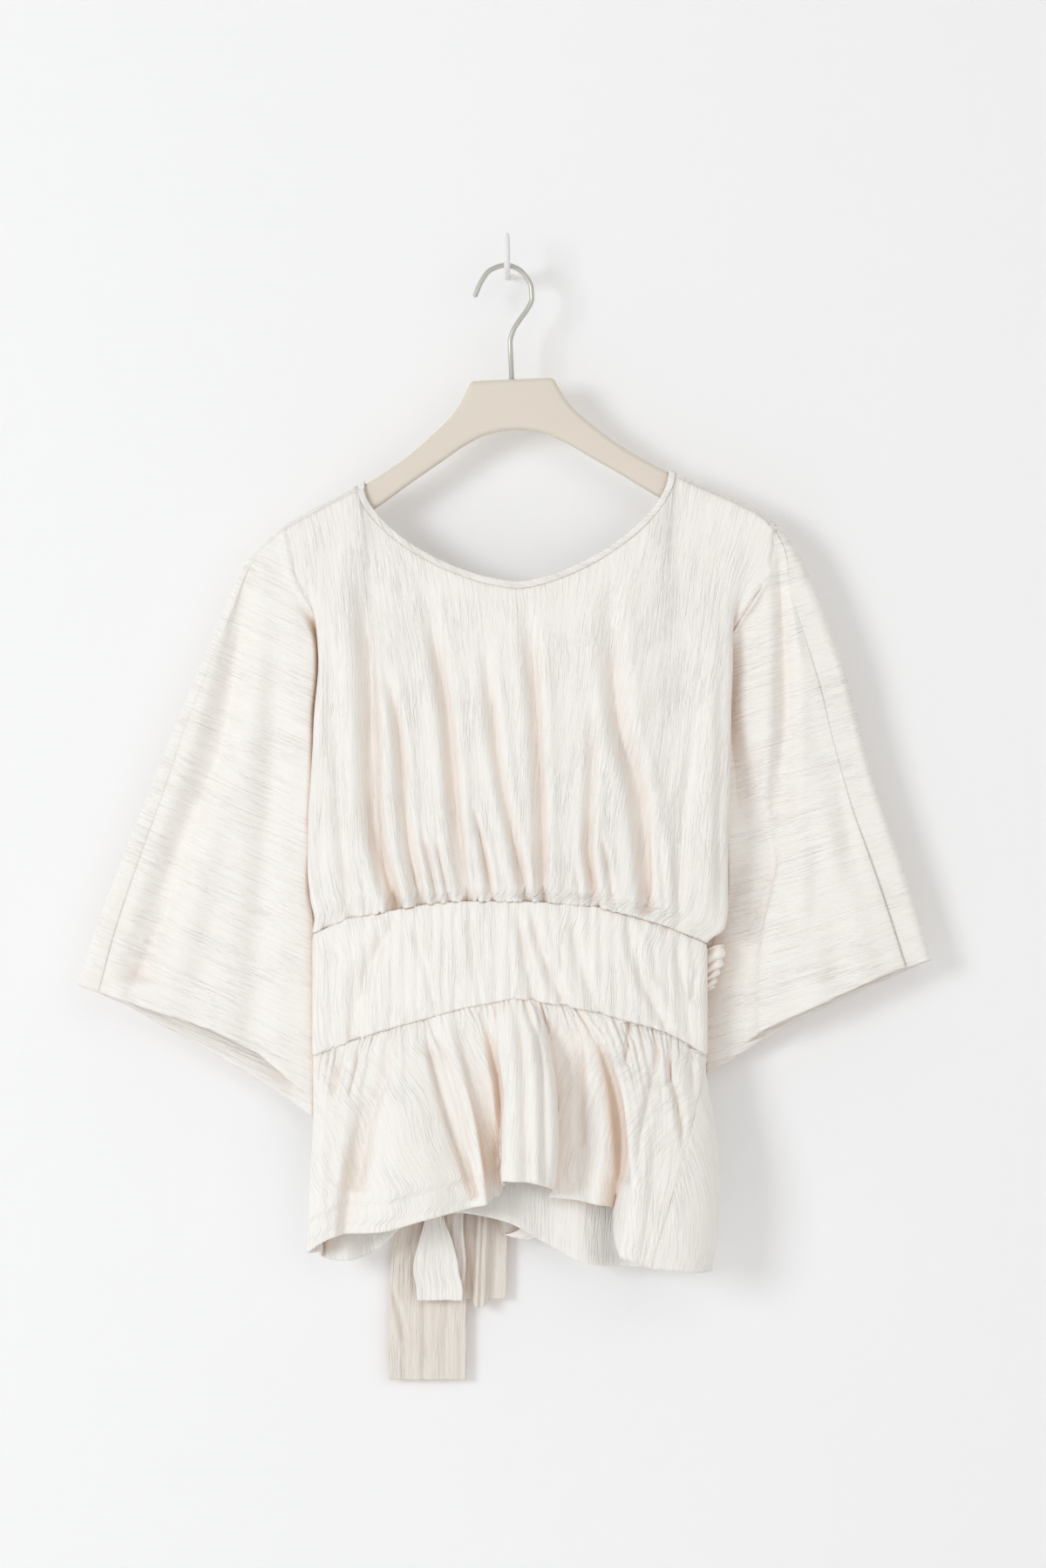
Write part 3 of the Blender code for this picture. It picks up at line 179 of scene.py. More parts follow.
CUFF_LEFT = table(
    "x front back",
    (-341, -567, -567),
    (-302, -580, -584),
    (-267, -591, -604),
    (-232, -603, -623),
    (-197, -621, -644),
    (-162, -651, -667),
    (-153, -659, -672),
)
CUFF_RIGHT = table(
    "x front back",
    (158, -627, -640),
    (188, -611, -621),
    (223, -593, -600),
    (258, -577, -583),
    (293, -560, -567),
    (314, -551, -558),
    (337, -547, -547),
)
UNDERARM_Z = -430.0
INNER_LEFT = table(
    "z x", (-671, -153), (-600, -152), (-540, -152), (-510, -154), (-490, -157), (-462, -155), (-430, -148)
)
INNER_RIGHT = table(
    "z x",
    (-640, 158), (-606, 157), (-570, 158), (-540, 162), (-515, 170), (-490, 176), (-462, 176), (-430, 169)
)

# The underarm seams hang behind the body: their depth, and where and over what width the cloth comes forward

INNER_FRONT_Y = {-1: -37.0, 1: -18.5}
INNER_REACH = {-1: (3.0, 10.0), 1: (2.0, 44.0)}

# Large folds, as troughs between two points: side offset halfway, width, depth

FOLD = "x0 z0 x1 z1 bend width depth"

BODICE_FOLDS = table(
    FOLD,
    (-104, -230, -92, -500, -14, 9, 4.5),
    (-76, -250, -66, -500, 4, 10, 2.5),
    (-54, -265, -42, -500, 3, 9, 4.5),
    (-26, -270, -14, -500, 2, 11, 2.5),
    (14, -270, 22, -500, 2, 9, 4.0),
    (46, -270, 48, -500, -2, 11, 2.5),
    (74, -270, 64, -500, -8, 9, 4.5),
    (92, -330, 108, -505, 2, 8, 4.0),
    (128, -300, 128, -510, 4, 11, 3.0),
    (160, -300, 148, -515, 2, 8, 2.5),
    (-135, -300, -124, -505, 2, 9, 3.0),
)
BACK_FOLDS = table(
    FOLD,
    (-118, -300, -96, -515, 4, 10, -3.5),
    (-78, -330, -60, -515, 2, 11, -3.0),
    (-36, -340, -26, -515, 2, 10, -3.5),
    (8, -340, 8, -515, 0, 11, -3.0),
    (50, -340, 42, -515, -2, 10, -3.5),
    (92, -330, 78, -515, -2, 11, -3.0),
    (134, -300, 116, -515, -4, 10, -3.5),
)
SLEEVE_FOLDS_LEFT = table(
    FOLD,
    (-186, -260, -200, -618, 4, 11, 3.0),
    (-200, -270, -248, -592, 2, 14, 2.5),
    (-222, -320, -292, -575, 3, 13, 2.5),
)
SLEEVE_FOLDS_RIGHT = table(
    FOLD,
    (212, -270, 222, -590, 4, 11, 3.0),
    (222, -290, 262, -572, 2, 13, 2.5),
    (236, -330, 298, -555, 2, 12, 2.5),
)
FRONT_GATHERS = 29
BACK_GATHERS = 24
PEPLUM_GATHERS = 33
BACK_PEPLUM_GATHERS = 28


# Curves and blends


def ease(t):
    t = np.clip(t, 0.0, 1.0)
    return t * t * (3 - 2 * t)


def follow(at, values, x):
    """A smooth curve through the points, with no overshoot between them, held at its ends."""
    step = np.diff(at)
    rise = np.diff(values) / step
    slope = np.zeros(len(at))
    slope[0], slope[-1] = rise[0], rise[-1]
    both = rise[:-1] * rise[1:] > 0
    first, second = rise[:-1][both], rise[1:][both]
    w1 = (2 * step[1:] + step[:-1])[both]
    w2 = (step[1:] + 2 * step[:-1])[both]
    slope[1:-1][both] = (w1 + w2) / (w1 / first + w2 / second)
    x = np.clip(x, at[0], at[-1])
    i = np.clip(np.searchsorted(at, x, side="right") - 1, 0, len(step) - 1)
    t = (x - at[i]) / step[i]
    a, b, h = values[i], values[i + 1], step[i]
    return (
        a * (1 + 2 * t) * (1 - t) ** 2
        + b * t * t * (3 - 2 * t)
        + h * (slope[i] * t * (1 - t) ** 2 - slope[i + 1] * t * t * (1 - t))
    )


def by_height(rows, name, z):
    """A column of a table whose first column falls with z."""
    turn = -1 if rows["z"][0] > rows["z"][-1] else 1
    return follow(rows["z"][::turn], rows[name][::turn], z)


def from_hanger(out, drop):
    """A point of the hanger, which hangs a little askew on the wall hook."""
    z = PLATE_TOP_Z - drop
    c, s = math.cos(ROLL_OF_HANGER), math.sin(ROLL_OF_HANGER)
    return out * c - z * s, out * s + z * c


# Outer edge of the garment on one side, from beside the plate over the shoulder to the cuff


def outer_edge(side, rows):
    out = np.array([66.0, 85.0, 102.0, NECK_HALF_WIDTH, 143.0, 175.0, 194.0])
    drop = np.interp(out, HANGER["out"], HANGER["top"]) - COVER
    x, z = from_hanger(side * out, drop)
    flat = np.full(len(out), 1.0)
    line = {
        "x": np.concatenate([x, rows["x"]]),
        "z": np.concatenate([z, rows["z"]]),
        "seam_in": np.concatenate([flat * 3.0, rows["seam_in"]]),
        "half_depth": np.concatenate([flat * 8.0, rows["half_depth"]]),
        "mid_y": np.concatenate([flat * HANGER_Y, rows["mid_y"]]),
    }
    length = np.concatenate([[0], np.cumsum(np.hypot(np.diff(line["x"]), np.diff(line["z"])))])
    fine = np.linspace(0, length[-1], 260)
    edge = {name: follow(length, values, fine) for name, values in line.items()}
    dx, dz = np.gradient(edge["x"]), np.gradient(edge["z"])
    size = np.hypot(dx, dz)
    edge["nx"], edge["nz"] = side * dz / size, -side * dx / size
    edge["length"] = fine
    turn = np.arccos(np.clip(1 - edge["seam_in"] / edge["half_depth"], 0, 1))
    on_turn = edge["half_depth"] * turn * 2 / math.pi
    unrolled = np.where(edge["seam_in"] < edge["half_depth"], on_turn, edge["seam_in"])
    apart = 0.4 * SEAM_GAP
    lap = 1.3
    edge["seam_x"] = edge["x"] + edge["nx"] * (edge["seam_in"] + apart)
    edge["seam_z"] = edge["z"] + edge["nz"] * (edge["seam_in"] + apart)
    edge["inset_x"] = edge["x"] + edge["nx"] * ROLL_INSET
    edge["inset_z"] = edge["z"] + edge["nz"] * ROLL_INSET
    edge["strip_x"] = edge["x"] - edge["nx"] * (unrolled + lap)
    edge["strip_z"] = edge["z"] - edge["nz"] * (unrolled + lap)
    edge["strip_out"] = unrolled + lap
    edge["side"] = side
    return edge


EDGES = {-1: outer_edge(-1, OUTER_LEFT), 1: outer_edge(1, OUTER_RIGHT)}


def nearest(edge, x, z):
    """The nearest point of an outer edge: how far inside it a place lies, and the edge's own values there."""
    shape = np.shape(x)
    px, pz = np.ravel(x)[:, None], np.ravel(z)[:, None]
    ax, az = edge["x"][:-1], edge["z"][:-1]
    bx, bz = np.diff(edge["x"]), np.diff(edge["z"])
    t = np.clip(((px - ax) * bx + (pz - az) * bz) / (bx * bx + bz * bz), 0, 1)
    gap = np.hypot(px - ax - t * bx, pz - az - t * bz)
    i = gap.argmin(axis=1)
    row = np.arange(len(i))
    t = t[row, i]
    names = ("x", "z", "nx", "nz", "half_depth", "mid_y")
    found = {n: edge[n][i] * (1 - t) + edge[n][i + 1] * t for n in names}
    inward = (px[:, 0] - found["x"]) * found["nx"] + (pz[:, 0] - found["z"]) * found["nz"]
    found["inside"] = gap[row, i] * np.where(inward < 0, -1, 1)
    return {n: values.reshape(shape) for n, values in found.items()}


def fold_back_over(edge, x, z):
    """Turns the back's cloth over the outer edge to the front, so that it comes to lie inside the edge."""
    at = nearest(edge, x, z)
    r = at["half_depth"]
    turn = np.clip(at["inside"] / r, -1, 1) * math.pi / 2
    near = np.abs(at["inside"]) < r
    in_by = np.where(near, r * (1 - np.cos(turn)), np.abs(at["inside"]))
    moved = at["inside"] < r
    new_x = np.where(moved, at["x"] + at["nx"] * in_by, x)
    new_z = np.where(moved, at["z"] + at["nz"] * in_by, z)
    return new_x, at["mid_y"] + r * np.sin(turn), new_z, at["inside"]


def over_shoulder(side, x, beyond):
    """The back's pattern place that hangs at x once folded over, from the inset line to the strip's end."""
    edge = EDGES[side]

    def at(name, x):
        return np.interp(side * x, side * edge["x"], edge[name])

    r = at("half_depth", x)
    inside = ROLL_INSET - (ROLL_INSET + at("strip_out", x)) * beyond
    in_by = np.where(np.abs(inside) < r, r * (1 - np.cos(inside / r * math.pi / 2)), np.abs(inside))
    foot = x
    for _ in range(4):
        foot = x - at("nx", foot) * in_by
    return foot + at("nx", foot) * inside, at("z", foot) + at("nz", foot) * inside


def front_of_edge(edge, x, z):
    at = nearest(edge, x, z)
    r = at["half_depth"]
    in_by = np.clip(at["inside"], 0, r)
    return at["mid_y"] - np.sqrt(r * r - (r - in_by) ** 2), at["inside"]


def folds(rows, x, z):
    """Sum of the large folds at a place."""
    total = np.zeros(np.shape(x))
    for x0, z0, x1, z1, bend, width, depth in zip(*(rows[n] for n in FOLD.split())):
        t = (z - z0) / (z1 - z0)
        middle = x0 + (x1 - x0) * t + 4 * bend * t * (1 - t)
        reach = ease((t + 0.1) / 0.3) * ease((1.12 - t) / 0.16)
        total += depth * reach * np.exp(-(((x - middle) / width) ** 2))
    return total


def gather_marks(count, wobble):
    """Places of the ridges and troughs of a gathered edge, unevenly spaced, as fractions of its length."""
    k = np.arange(2 * count + 1)
    uneven = wobble * (np.sin(2.3 * k) + 0.7 * np.sin(1.1 * k + 1.0)) * np.sin(math.pi * k / (2 * count))
    return (k + uneven) / (2 * count)


def gathers(marks, s):
    return np.cos(math.pi * np.interp(s, marks, np.arange(len(marks))))


def coons(top, bottom, left, right, s, v, reach=1.0):
    """Places inside a patch with four border curves; each curve gives x and z for 0 to 1.

    Reach is how far in from a side its curve is felt, as a share of the width.
    """
    def lifted(curve, t):
        return np.stack(curve(t), axis=-1)

    def corner(curve, t):
        return np.array([float(np.asarray(c)) for c in curve(np.float64(t))])

    v3 = v[..., None]
    from_left = (1 - s if reach == 1 else ease((reach - s) / reach))[..., None]
    from_right = (s if reach == 1 else ease((reach - 1 + s) / reach))[..., None]
    left_bow = lifted(left, v) - (1 - v3) * corner(left, 0) - v3 * corner(left, 1)
    right_bow = lifted(right, v) - (1 - v3) * corner(right, 0) - v3 * corner(right, 1)
    inside = (1 - v3) * lifted(top, s) + v3 * lifted(bottom, s)
    inside = inside + from_left * left_bow + from_right * right_bow
    return inside[..., 0], inside[..., 1]


# Necklines, drawn in the hanger's own frame


def neck_curve(kind, grow, t):
    """A scoop from the left corner to the right, grown outwards; t runs 0 to 1."""
    of_front, of_back = (FRONT_CORNER_DROP, FRONT_NECK_DROP), (BACK_CORNER_DROP, BACK_NECK_DROP)
    corner, drop = of_front if kind == "seam" else of_back
    half = NECK_HALF_WIDTH + grow
    across = -np.cos(math.pi * t)
    deep = np.clip(1 - np.abs(across) ** NECK_SQUARENESS, 0, 1) ** (1 / NECK_SQUARENESS)
    return from_hanger(half * across, corner + (drop + grow) * deep)


NECK_GROWN = BINDING + 1.5 * SEAM_GAP

def top_line(t, kind, left_x, right_x, neck):
    """A body panel's upper border: left shoulder, neckline (t from neck[0] to neck[1]), right shoulder."""
    line = "seam" if kind == "seam" else "inset"
    neck_x, neck_z = neck_curve(kind, NECK_GROWN, np.clip((t - neck[0]) / (neck[1] - neck[0]), 0, 1))
    ends_x, _ = neck_curve(kind, NECK_GROWN, np.array([0.0, 1.0]))
    left = left_x + (ends_x[0] - left_x) * np.clip(t / neck[0], 0, 1)
    right = ends_x[1] + (right_x - ends_x[1]) * np.clip((t - neck[1]) / (1 - neck[1]), 0, 1)
    le, re = EDGES[-1], EDGES[1]
    left_z = np.interp(-left, -le[line + "_x"], le[line + "_z"])
    right_z = np.interp(right, re[line + "_x"], re[line + "_z"])
    x = np.where(t < neck[0], left, np.where(t > neck[1], right, neck_x))
    z = np.where(t < neck[0], left_z, np.where(t > neck[1], right_z, neck_z))
    return x, z


# Front


def side_x(z, side):
    return by_height(SIDES, "left" if side < 0 else "right", z)


def flat_side(side, z):
    """The unfolded body reaches past its visible side edge by the cloth in the side turn."""
    return side_x(z, side) + side * (SIDE_TURN - SIDE_TURN_RADIUS)


UNFOLDED_WIDTH = 375.0
TURN_SHARE = SIDE_TURN / UNFOLDED_WIDTH
SIDE_TOP_Z = {-1: -200.0, 1: -206.0}
BODY_END_Z = -533.0


def turned(place, side, s, v, openness):
    """Rolls the cloth beyond the body's side edge back behind it; place gives x, y and z for s and v."""
    start = TURN_SHARE if side < 0 else 1 - TURN_SHARE
    beyond = (start - s) * -side
    on_turn = beyond > 0
    arc = np.where(on_turn, beyond / TURN_SHARE * SIDE_TURN, 0)
    x, y, z = place(s, v)
    fx, fy, _ = place(np.where(on_turn, start, s), v)
    r = SIDE_TURN_RADIUS
    bent = np.minimum(arc, math.pi * r)
    rx = fx + side * (r * np.sin(bent / r) - (arc - bent))
    ry = fy + r * (1 - np.cos(bent / r))
    w = np.where(on_turn, openness, 0)
    return x * (1 - w) + rx * w, y * (1 - w) + ry * w, z


FRONT_SPLIT_X = {side: flat_side(side, z) for side, z in SIDE_TOP_Z.items()}
FRONT_MARKS = gather_marks(FRONT_GATHERS, 0.28)
BACK_MARKS = gather_marks(BACK_GATHERS, 0.28)


def face_columns(marks):
    """Columns across a body panel: the side turns, then one for each ridge and trough."""
    turn = np.array([0, 0.25, 0.55, 0.8]) * TURN_SHARE
    face = TURN_SHARE + (1 - 2 * TURN_SHARE) * np.asarray(marks)
    return np.concatenate([turn, face, 1 - turn[::-1]])


FRONT_COLUMNS = face_columns(FRONT_MARKS)
FRONT_NECK_COLUMNS = (9, len(FRONT_COLUMNS) - 10)
BACK_NECK_COLUMNS = (6, len(BACK_MARKS) - 7)
FRONT_NECK = [FRONT_COLUMNS[i] for i in FRONT_NECK_COLUMNS]
BACK_NECK = [BACK_MARKS[i] for i in BACK_NECK_COLUMNS]


def across_face(s):
    return np.clip((s - TURN_SHARE) / (1 - 2 * TURN_SHARE), 0, 1)


def front_depth(x, z):
    """How far forward the front stands at a place, with its large folds but without the gathers."""
    edge_y, inside = np.zeros(x.shape), np.zeros(x.shape)
    for side in (-1, 1):
        y, d = front_of_edge(EDGES[side], x, z)
        mine = (x * side) > 0
        edge_y, inside = np.where(mine, y, edge_y), np.where(mine, d, inside)
    left, right = side_x(z, -1), side_x(z, 1)
    t = np.clip((2 * x - left - right) / (right - left - 2 * SIDE_TURN_RADIUS), -1, 1)
    crown = 1 - np.abs(t) ** 2.4
    y = by_height(DEPTH, "edge", z) * (1 - crown) + by_height(DEPTH, "centre", z) * crown
    y = edge_y + (y - edge_y) * ease(inside / 60)
    return y + 0.35 * folds(BODICE_FOLDS, x, z) * ease((1 - np.abs(t)) / 0.08)


def front_flat(s, v):
    """The front bodice before its sides are turned back."""
    lx, rx = FRONT_SPLIT_X[-1], FRONT_SPLIT_X[1]
    low_l, low_r = flat_side(-1, BODY_END_Z), flat_side(1, BODY_END_Z)

    def top(t):
        return top_line(t, "seam", lx, rx, FRONT_NECK)

    def bottom(t):
        x = low_l + (low_r - low_l) * t
        return x, np.interp(x, BAND["x"], BAND["top"]) + SEAM_GAP

    def side_line(side):
        def line(t):
            z = SIDE_TOP_Z[side] + (BODY_END_Z - SIDE_TOP_Z[side]) * t
            return flat_side(side, z), z
        return line

    x, z = coons(top, bottom, side_line(-1), side_line(1), s, v)
    y = front_depth(x, z)
    face = ease((1 - np.abs(across_face(s) * 2 - 1)) / 0.08)
    from_seam = (1 - v) * 260
    rise = (0.25 + 0.75 * ease(from_seam / 9)) * np.exp(-((from_seam / 62) ** 2))
    puff = ease(from_seam / 14) * np.exp(-((from_seam / 38) ** 2))
    y = y - 0.3 * gathers(FRONT_MARKS, across_face(s)) * rise * face - 3.0 * puff
    return x, y, z


def openness(v):
    return ease((v - 0.09) / 0.22)


def front_body(s, v):
    x, y, z = front_flat(s, v)
    for side in (-1, 1):
        tx, ty, _ = turned(front_flat, side, s, v, openness(v))
        mine = s < 0.5 if side < 0 else s >= 0.5
        x, y = np.where(mine, tx, x), np.where(mine, ty, y)
    return x, y, z


UNDERARM_V = (UNDERARM_Z - SIDE_TOP_Z[-1]) / (BODY_END_Z - SIDE_TOP_Z[-1])


def body_line(body, side, v):
    s = np.zeros(np.shape(v)) if side < 0 else np.ones(np.shape(v))
    return body(s, np.asarray(v, float))


def on_edge(edge, kind, x0, length):
    """Places along an edge's own line by length, from where it passes x0."""
    side = edge["side"]
    start = np.interp(side * x0, side * edge[kind + "_x"], edge["length"])
    at = start + length * (edge["length"][-1] - start)
    return np.interp(at, edge["length"], edge[kind + "_x"]), np.interp(at, edge["length"], edge[kind + "_z"])


def v_of_w(kind, w):
    """Place on the body's side line that belongs to a sleeve row above the underarm."""
    if kind == "seam":
        return np.clip(w / 0.5, 0, 1) * UNDERARM_V
    return np.where(w < 0.03, w / 0.03 - 1, np.clip((w - 0.03) / 0.47, 0, 1) * UNDERARM_V)


def w_of_v(kind, v):
    if kind == "seam":
        return v / UNDERARM_V * 0.5
    return np.where(v < 0, 0.03 * (1 + v), 0.03 + 0.47 * v / UNDERARM_V)


def sleeve_patch(side, body, kind, hem_kind, inner_y, u, w):
    """One layer of a sleeve: u from the inner line out to the overarm seam, w from shoulder to cuff.

    The upper half of the inner line is the body panel's own side line, the lower half the underarm seam.
    """
    edge = EDGES[side]
    inner = INNER_LEFT if side < 0 else INNER_RIGHT
    cuff = CUFF_LEFT if side < 0 else CUFF_RIGHT
    top_x = float(body_line(body, side, v_of_w(kind, np.float64(0)))[0])
    low_x, low_y, low_z = (float(c) for c in body_line(body, side, UNDERARM_V))
    nearest = np.abs(edge["x"] - side * SHOULDER_TIP).argmin()
    tip = edge[kind + "_x"][np.searchsorted(edge["length"], edge["length"][nearest])]
    end_x = cuff["x"][0] if side < 0 else cuff["x"][-1]
    inner_end_x = cuff["x"][-1] if side < 0 else cuff["x"][0]
    cuff_z = cuff[hem_kind]
    last_x, last_z = edge[kind + "_x"][-1], edge[kind + "_z"][-1]

    def top(t):
        x = top_x + (tip - top_x) * t
        return x, np.interp(side * x, side * edge[kind + "_x"], edge[kind + "_z"])

    def bottom(t):
        x = inner_end_x + (last_x - inner_end_x) * t
        beyond = np.maximum(side * (x - end_x), 0)
        z = np.interp(x, cuff["x"], cuff_z)
        if kind == "seam":
            z = z + (last_z - np.interp(last_x, cuff["x"], cuff_z)) * t**4
        else:
            z = z + (last_z - edge["z"][-1]) * np.clip(beyond / abs(last_x - end_x), 0, 1)
        return x, z

    def inner_line(t):
        above = body_line(body, side, v_of_w(kind, t))
        z_end = float(np.interp(inner_end_x, cuff["x"], cuff_z))
        z = low_z + (z_end - low_z) * np.clip((t - 0.5) / 0.5, 0, 1)
        highest = -1 if inner["z"][-1] > inner["z"][0] else 0
        x = by_height(inner, "x", z) + (low_x - inner["x"][highest]) * ease(1 - (t - 0.5) / 0.12)
        return np.where(t <= 0.5, above[0], x), np.where(t <= 0.5, above[2], z)

    def outer_line(t):
        return on_edge(edge, kind, tip, t)

    x, z = coons(top, bottom, inner_line, outer_line, u, w)
    ix, iz = inner_line(w)
    above_y = body_line(body, side, v_of_w(kind, w))[1]
    line_y = np.where(w <= 0.5, above_y, inner_y + (low_y - inner_y) * ease(1 - (low_z - iz) / 60))
    return x, z, np.abs(x - ix), line_y


def front_sleeve(side, u, w):
    x, z, from_line, line_y = sleeve_patch(side, front_body, "seam", "front", INNER_FRONT_Y[side], u, w)
    edge_y, inside = front_of_edge(EDGES[side], x, z)
    y = edge_y + (by_height(SLEEVE_DEPTH, "front", z) - edge_y) * ease(inside / 50)
    y = y + folds(SLEEVE_FOLDS_LEFT if side < 0 else SLEEVE_FOLDS_RIGHT, x, z) * ease(inside / 30)
    opened = openness(v_of_w("seam", w)) * ease(1 - (w - 0.5) / 0.08)
    behind = line_y + 3.5 * opened * ease(from_line / 2.5)
    start, width = INNER_REACH[side]
    hold = 1 - ease((from_line - start * opened) / width)
    return x, y + (behind - y) * hold, z


# Back


def back_line(side, v):
    """The back's side line lies just behind the front's, lapped over it by the seam gap."""
    v = np.asarray(v, float)
    x, y, z = body_line(front_body, side, np.maximum(v, 0))
    x = x + side * 1.0
    edge = EDGES[side]
    inset_z, seam_z = (np.interp(side * x, side * edge[n + "_x"], edge[n + "_z"]) for n in ("inset", "seam"))
    z = z + (inset_z - seam_z) * (1 - np.maximum(v, 0))
    rolled_x, rolled_z = over_shoulder(side, x, np.clip(-v, 0, 1))
    x, z = np.where(v < 0, rolled_x, x), np.where(v < 0, rolled_z, z)
    deep = np.where(v < UNDERARM_V, 5.0, 5.0 + (LAP - 5.0) * ease((v - UNDERARM_V) / 0.12))
    top_y = HANGER_Y + 8.0
    y = top_y + (y + deep - top_y) * ease((v - 0.06) / (UNDERARM_V - 0.1))
    return x, y, z


def back_place(x, z):
    """Where a place of the back's flat pattern hangs, with its large folds but without the gathers."""
    px, py, pz, inside = x.copy(), np.zeros(x.shape), z.copy(), np.zeros(x.shape)
    for side in (-1, 1):
        fx, fy, fz, d = fold_back_over(EDGES[side], x, z)
        mine = (x * side) > 0
        px, py, pz = np.where(mine, fx, px), np.where(mine, fy, py), np.where(mine, fz, pz)
        inside = np.where(mine, d, inside)
    y = by_height(DEPTH, "back", pz)
    y = py + (y - py) * ease((inside - 8) / 60)
    return px, y - folds(BACK_FOLDS, px, pz), pz


def back_body(s, v):
    lx, rx = float(back_line(-1, 0.0)[0]), float(back_line(1, 0.0)[0])
    low_l, low_r = float(back_line(-1, 1.0)[0]), float(back_line(1, 1.0)[0])

    def top(t):
        return top_line(t, "back", lx, rx, BACK_NECK)

    def bottom(t):
        x = low_l + (low_r - low_l) * t
        return x, np.interp(x, BACK_BAND["x"], BACK_BAND["top"]) + SEAM_GAP / 2

    def side_line(side):
        def line(t):
            x, _, z = back_line(side, t)
            return x, z
        return line

    x, z = coons(top, bottom, side_line(-1), side_line(1), s, np.maximum(v, 0), 0.16)
    for side in (-1, 1):
        rolled_x, rolled_z = over_shoulder(side, x, np.clip(-v, 0, 1))
        rolled = (x * side > 0) & (v < 0)
        x, z = np.where(rolled, rolled_x, x), np.where(rolled, rolled_z, z)
    px, y, pz = back_place(x, z)
    from_seam = (1 - np.maximum(v, 0)) * 230
    rise = (0.25 + 0.75 * ease(from_seam / 9)) * np.exp(-((from_seam / 55) ** 2))
    y = y + 0.5 * gathers(BACK_MARKS, s) * rise * ease(np.minimum(s, 1 - s) / 0.06)
    for side in (-1, 1):
        bx, by, _ = back_line(side, v)
        hold = (1 - ease(np.abs(px - bx) / 22)) * openness(v)
        y = y + (by - y) * hold * ((px * side) > 0)
    return px, y, pz


def back_sleeve(side, u, w):
    def line_body(s, v):
        return back_line(side, v)

    inner_y = INNER_FRONT_Y[side] + LAP + 1.4 * SEAM_GAP
    x, z, from_line, line_y = sleeve_patch(side, line_body, "strip", "back", inner_y, u, w)
    fx, fy, fz, inside = fold_back_over(EDGES[side], x, z)
    y = fy + (by_height(SLEEVE_DEPTH, "back", fz) - fy) * ease((inside - 8) / 50)
    opened = openness(v_of_w("strip", w))
    hold = (1 - ease(from_line / 22)) * opened * (inside > 0)
    return fx, y + (line_y - y) * hold, fz


# Band


def band_front(s, v):
    """The shaped waistband between its two side seams."""
    def flat(s, v):
        low_l, low_r = flat_side(-1, -560.0), flat_side(1, -560.0)
        x = low_l + (low_r - low_l) * s
        top = np.interp(x, BAND["x"], BAND["top"]) - SEAM_GAP / 2
        bottom = np.interp(x, BAND["x"], BAND["bottom"]) + SEAM_GAP / 2
        z = top + (bottom - top) * v
        t = across_face(s) * 2 - 1
        crown = 1 - np.abs(t) ** 2.4
        y = by_height(DEPTH, "edge", z) * (1 - crown) + by_height(DEPTH, "centre", z) * crown
        ripple = gathers(FRONT_MARKS, across_face(s)) * 0.5
        return x, y - ripple * ease((1 - np.abs(t)) / 0.08), z

    x, y, z = flat(s, v)
    for side in (-1, 1):
        tx, ty, _ = turned(flat, side, s, v, np.ones(np.shape(s)))
        mine = s < 0.5 if side < 0 else s >= 0.5
        x, y = np.where(mine, tx, x), np.where(mine, ty, y)
    return x, y, z


def band_back(s, v):
    ends = [[float(c) for c in band_front(np.float64(end), np.float64(0.5))] for end in (0.0, 1.0)]
    x = ends[0][0] - 1 + (ends[1][0] - ends[0][0] + 2) * s
    top = np.interp(x, BACK_BAND["x"], BACK_BAND["top"]) - SEAM_GAP / 2
    bottom = np.interp(x, BACK_BAND["x"], BACK_BAND["bottom"]) + SEAM_GAP / 2
    z = top + (bottom - top) * v
    line_y = ends[0][1] + LAP
    y = by_height(DEPTH, "back", z) + gathers(BACK_MARKS, s) * 0.5 * ease(np.minimum(s, 1 - s) / 0.06)
    reach = np.minimum(x - x.min(), x.max() - x)
    return x, y + (line_y - y) * (1 - ease(reach / 20)), z


# Peplum: along its upper edge, where each fold starts, where it is halfway down and at the hem

PEPLUM_FRONT = table(
    "at x_mid x_hem y_mid y_hem z_hem",
    (0, -145, -146, -36, -38, -778),
    (8, -153, -154, -40, -42, -778),
    (20, -154, -157, -50, -50, -777),
    (34, -144, -145, -58, -57, -768),
    (52, -130, -137, -58, -60, -764),
    (68, -117, -128, -52, -52, -762),
    (86, -84, -98, -66, -66, -759),
    (96, -66, -66, -64, -68, -750),
    (107, -40, -28, -54, -56, -741),
    (119, -28, -16, -64, -62, -738),
    (132, -14, -6, -54, -50, -733),
    (157, -6, -3, -54, -50, -724),
    (165, -5, -8, -72, -74, -719),
    (172, 6, 3, -82, -85, -717),
    (180, 20, 16, -83, -86, -718),
    (188, 34, 31, -78, -80, -722),
    (193, 39, 36, -64, -66, -726),
    (198, 40, 33, -46, -45, -733),
    (212, 58, 54, -45, -46, -736),
    (222, 74, 70, -52, -52, -739),
    (231, 87, 84, -46, -44, -743),
    (234, 90, 84, -62, -62, -758),
    (238, 95, 88, -76, -80, -776),
    (252, 104, 97, -78, -82, -780),
    (280, 118, 104, -74, -80, -783),
    (333, 136, 112, -74, -78, -786),
)
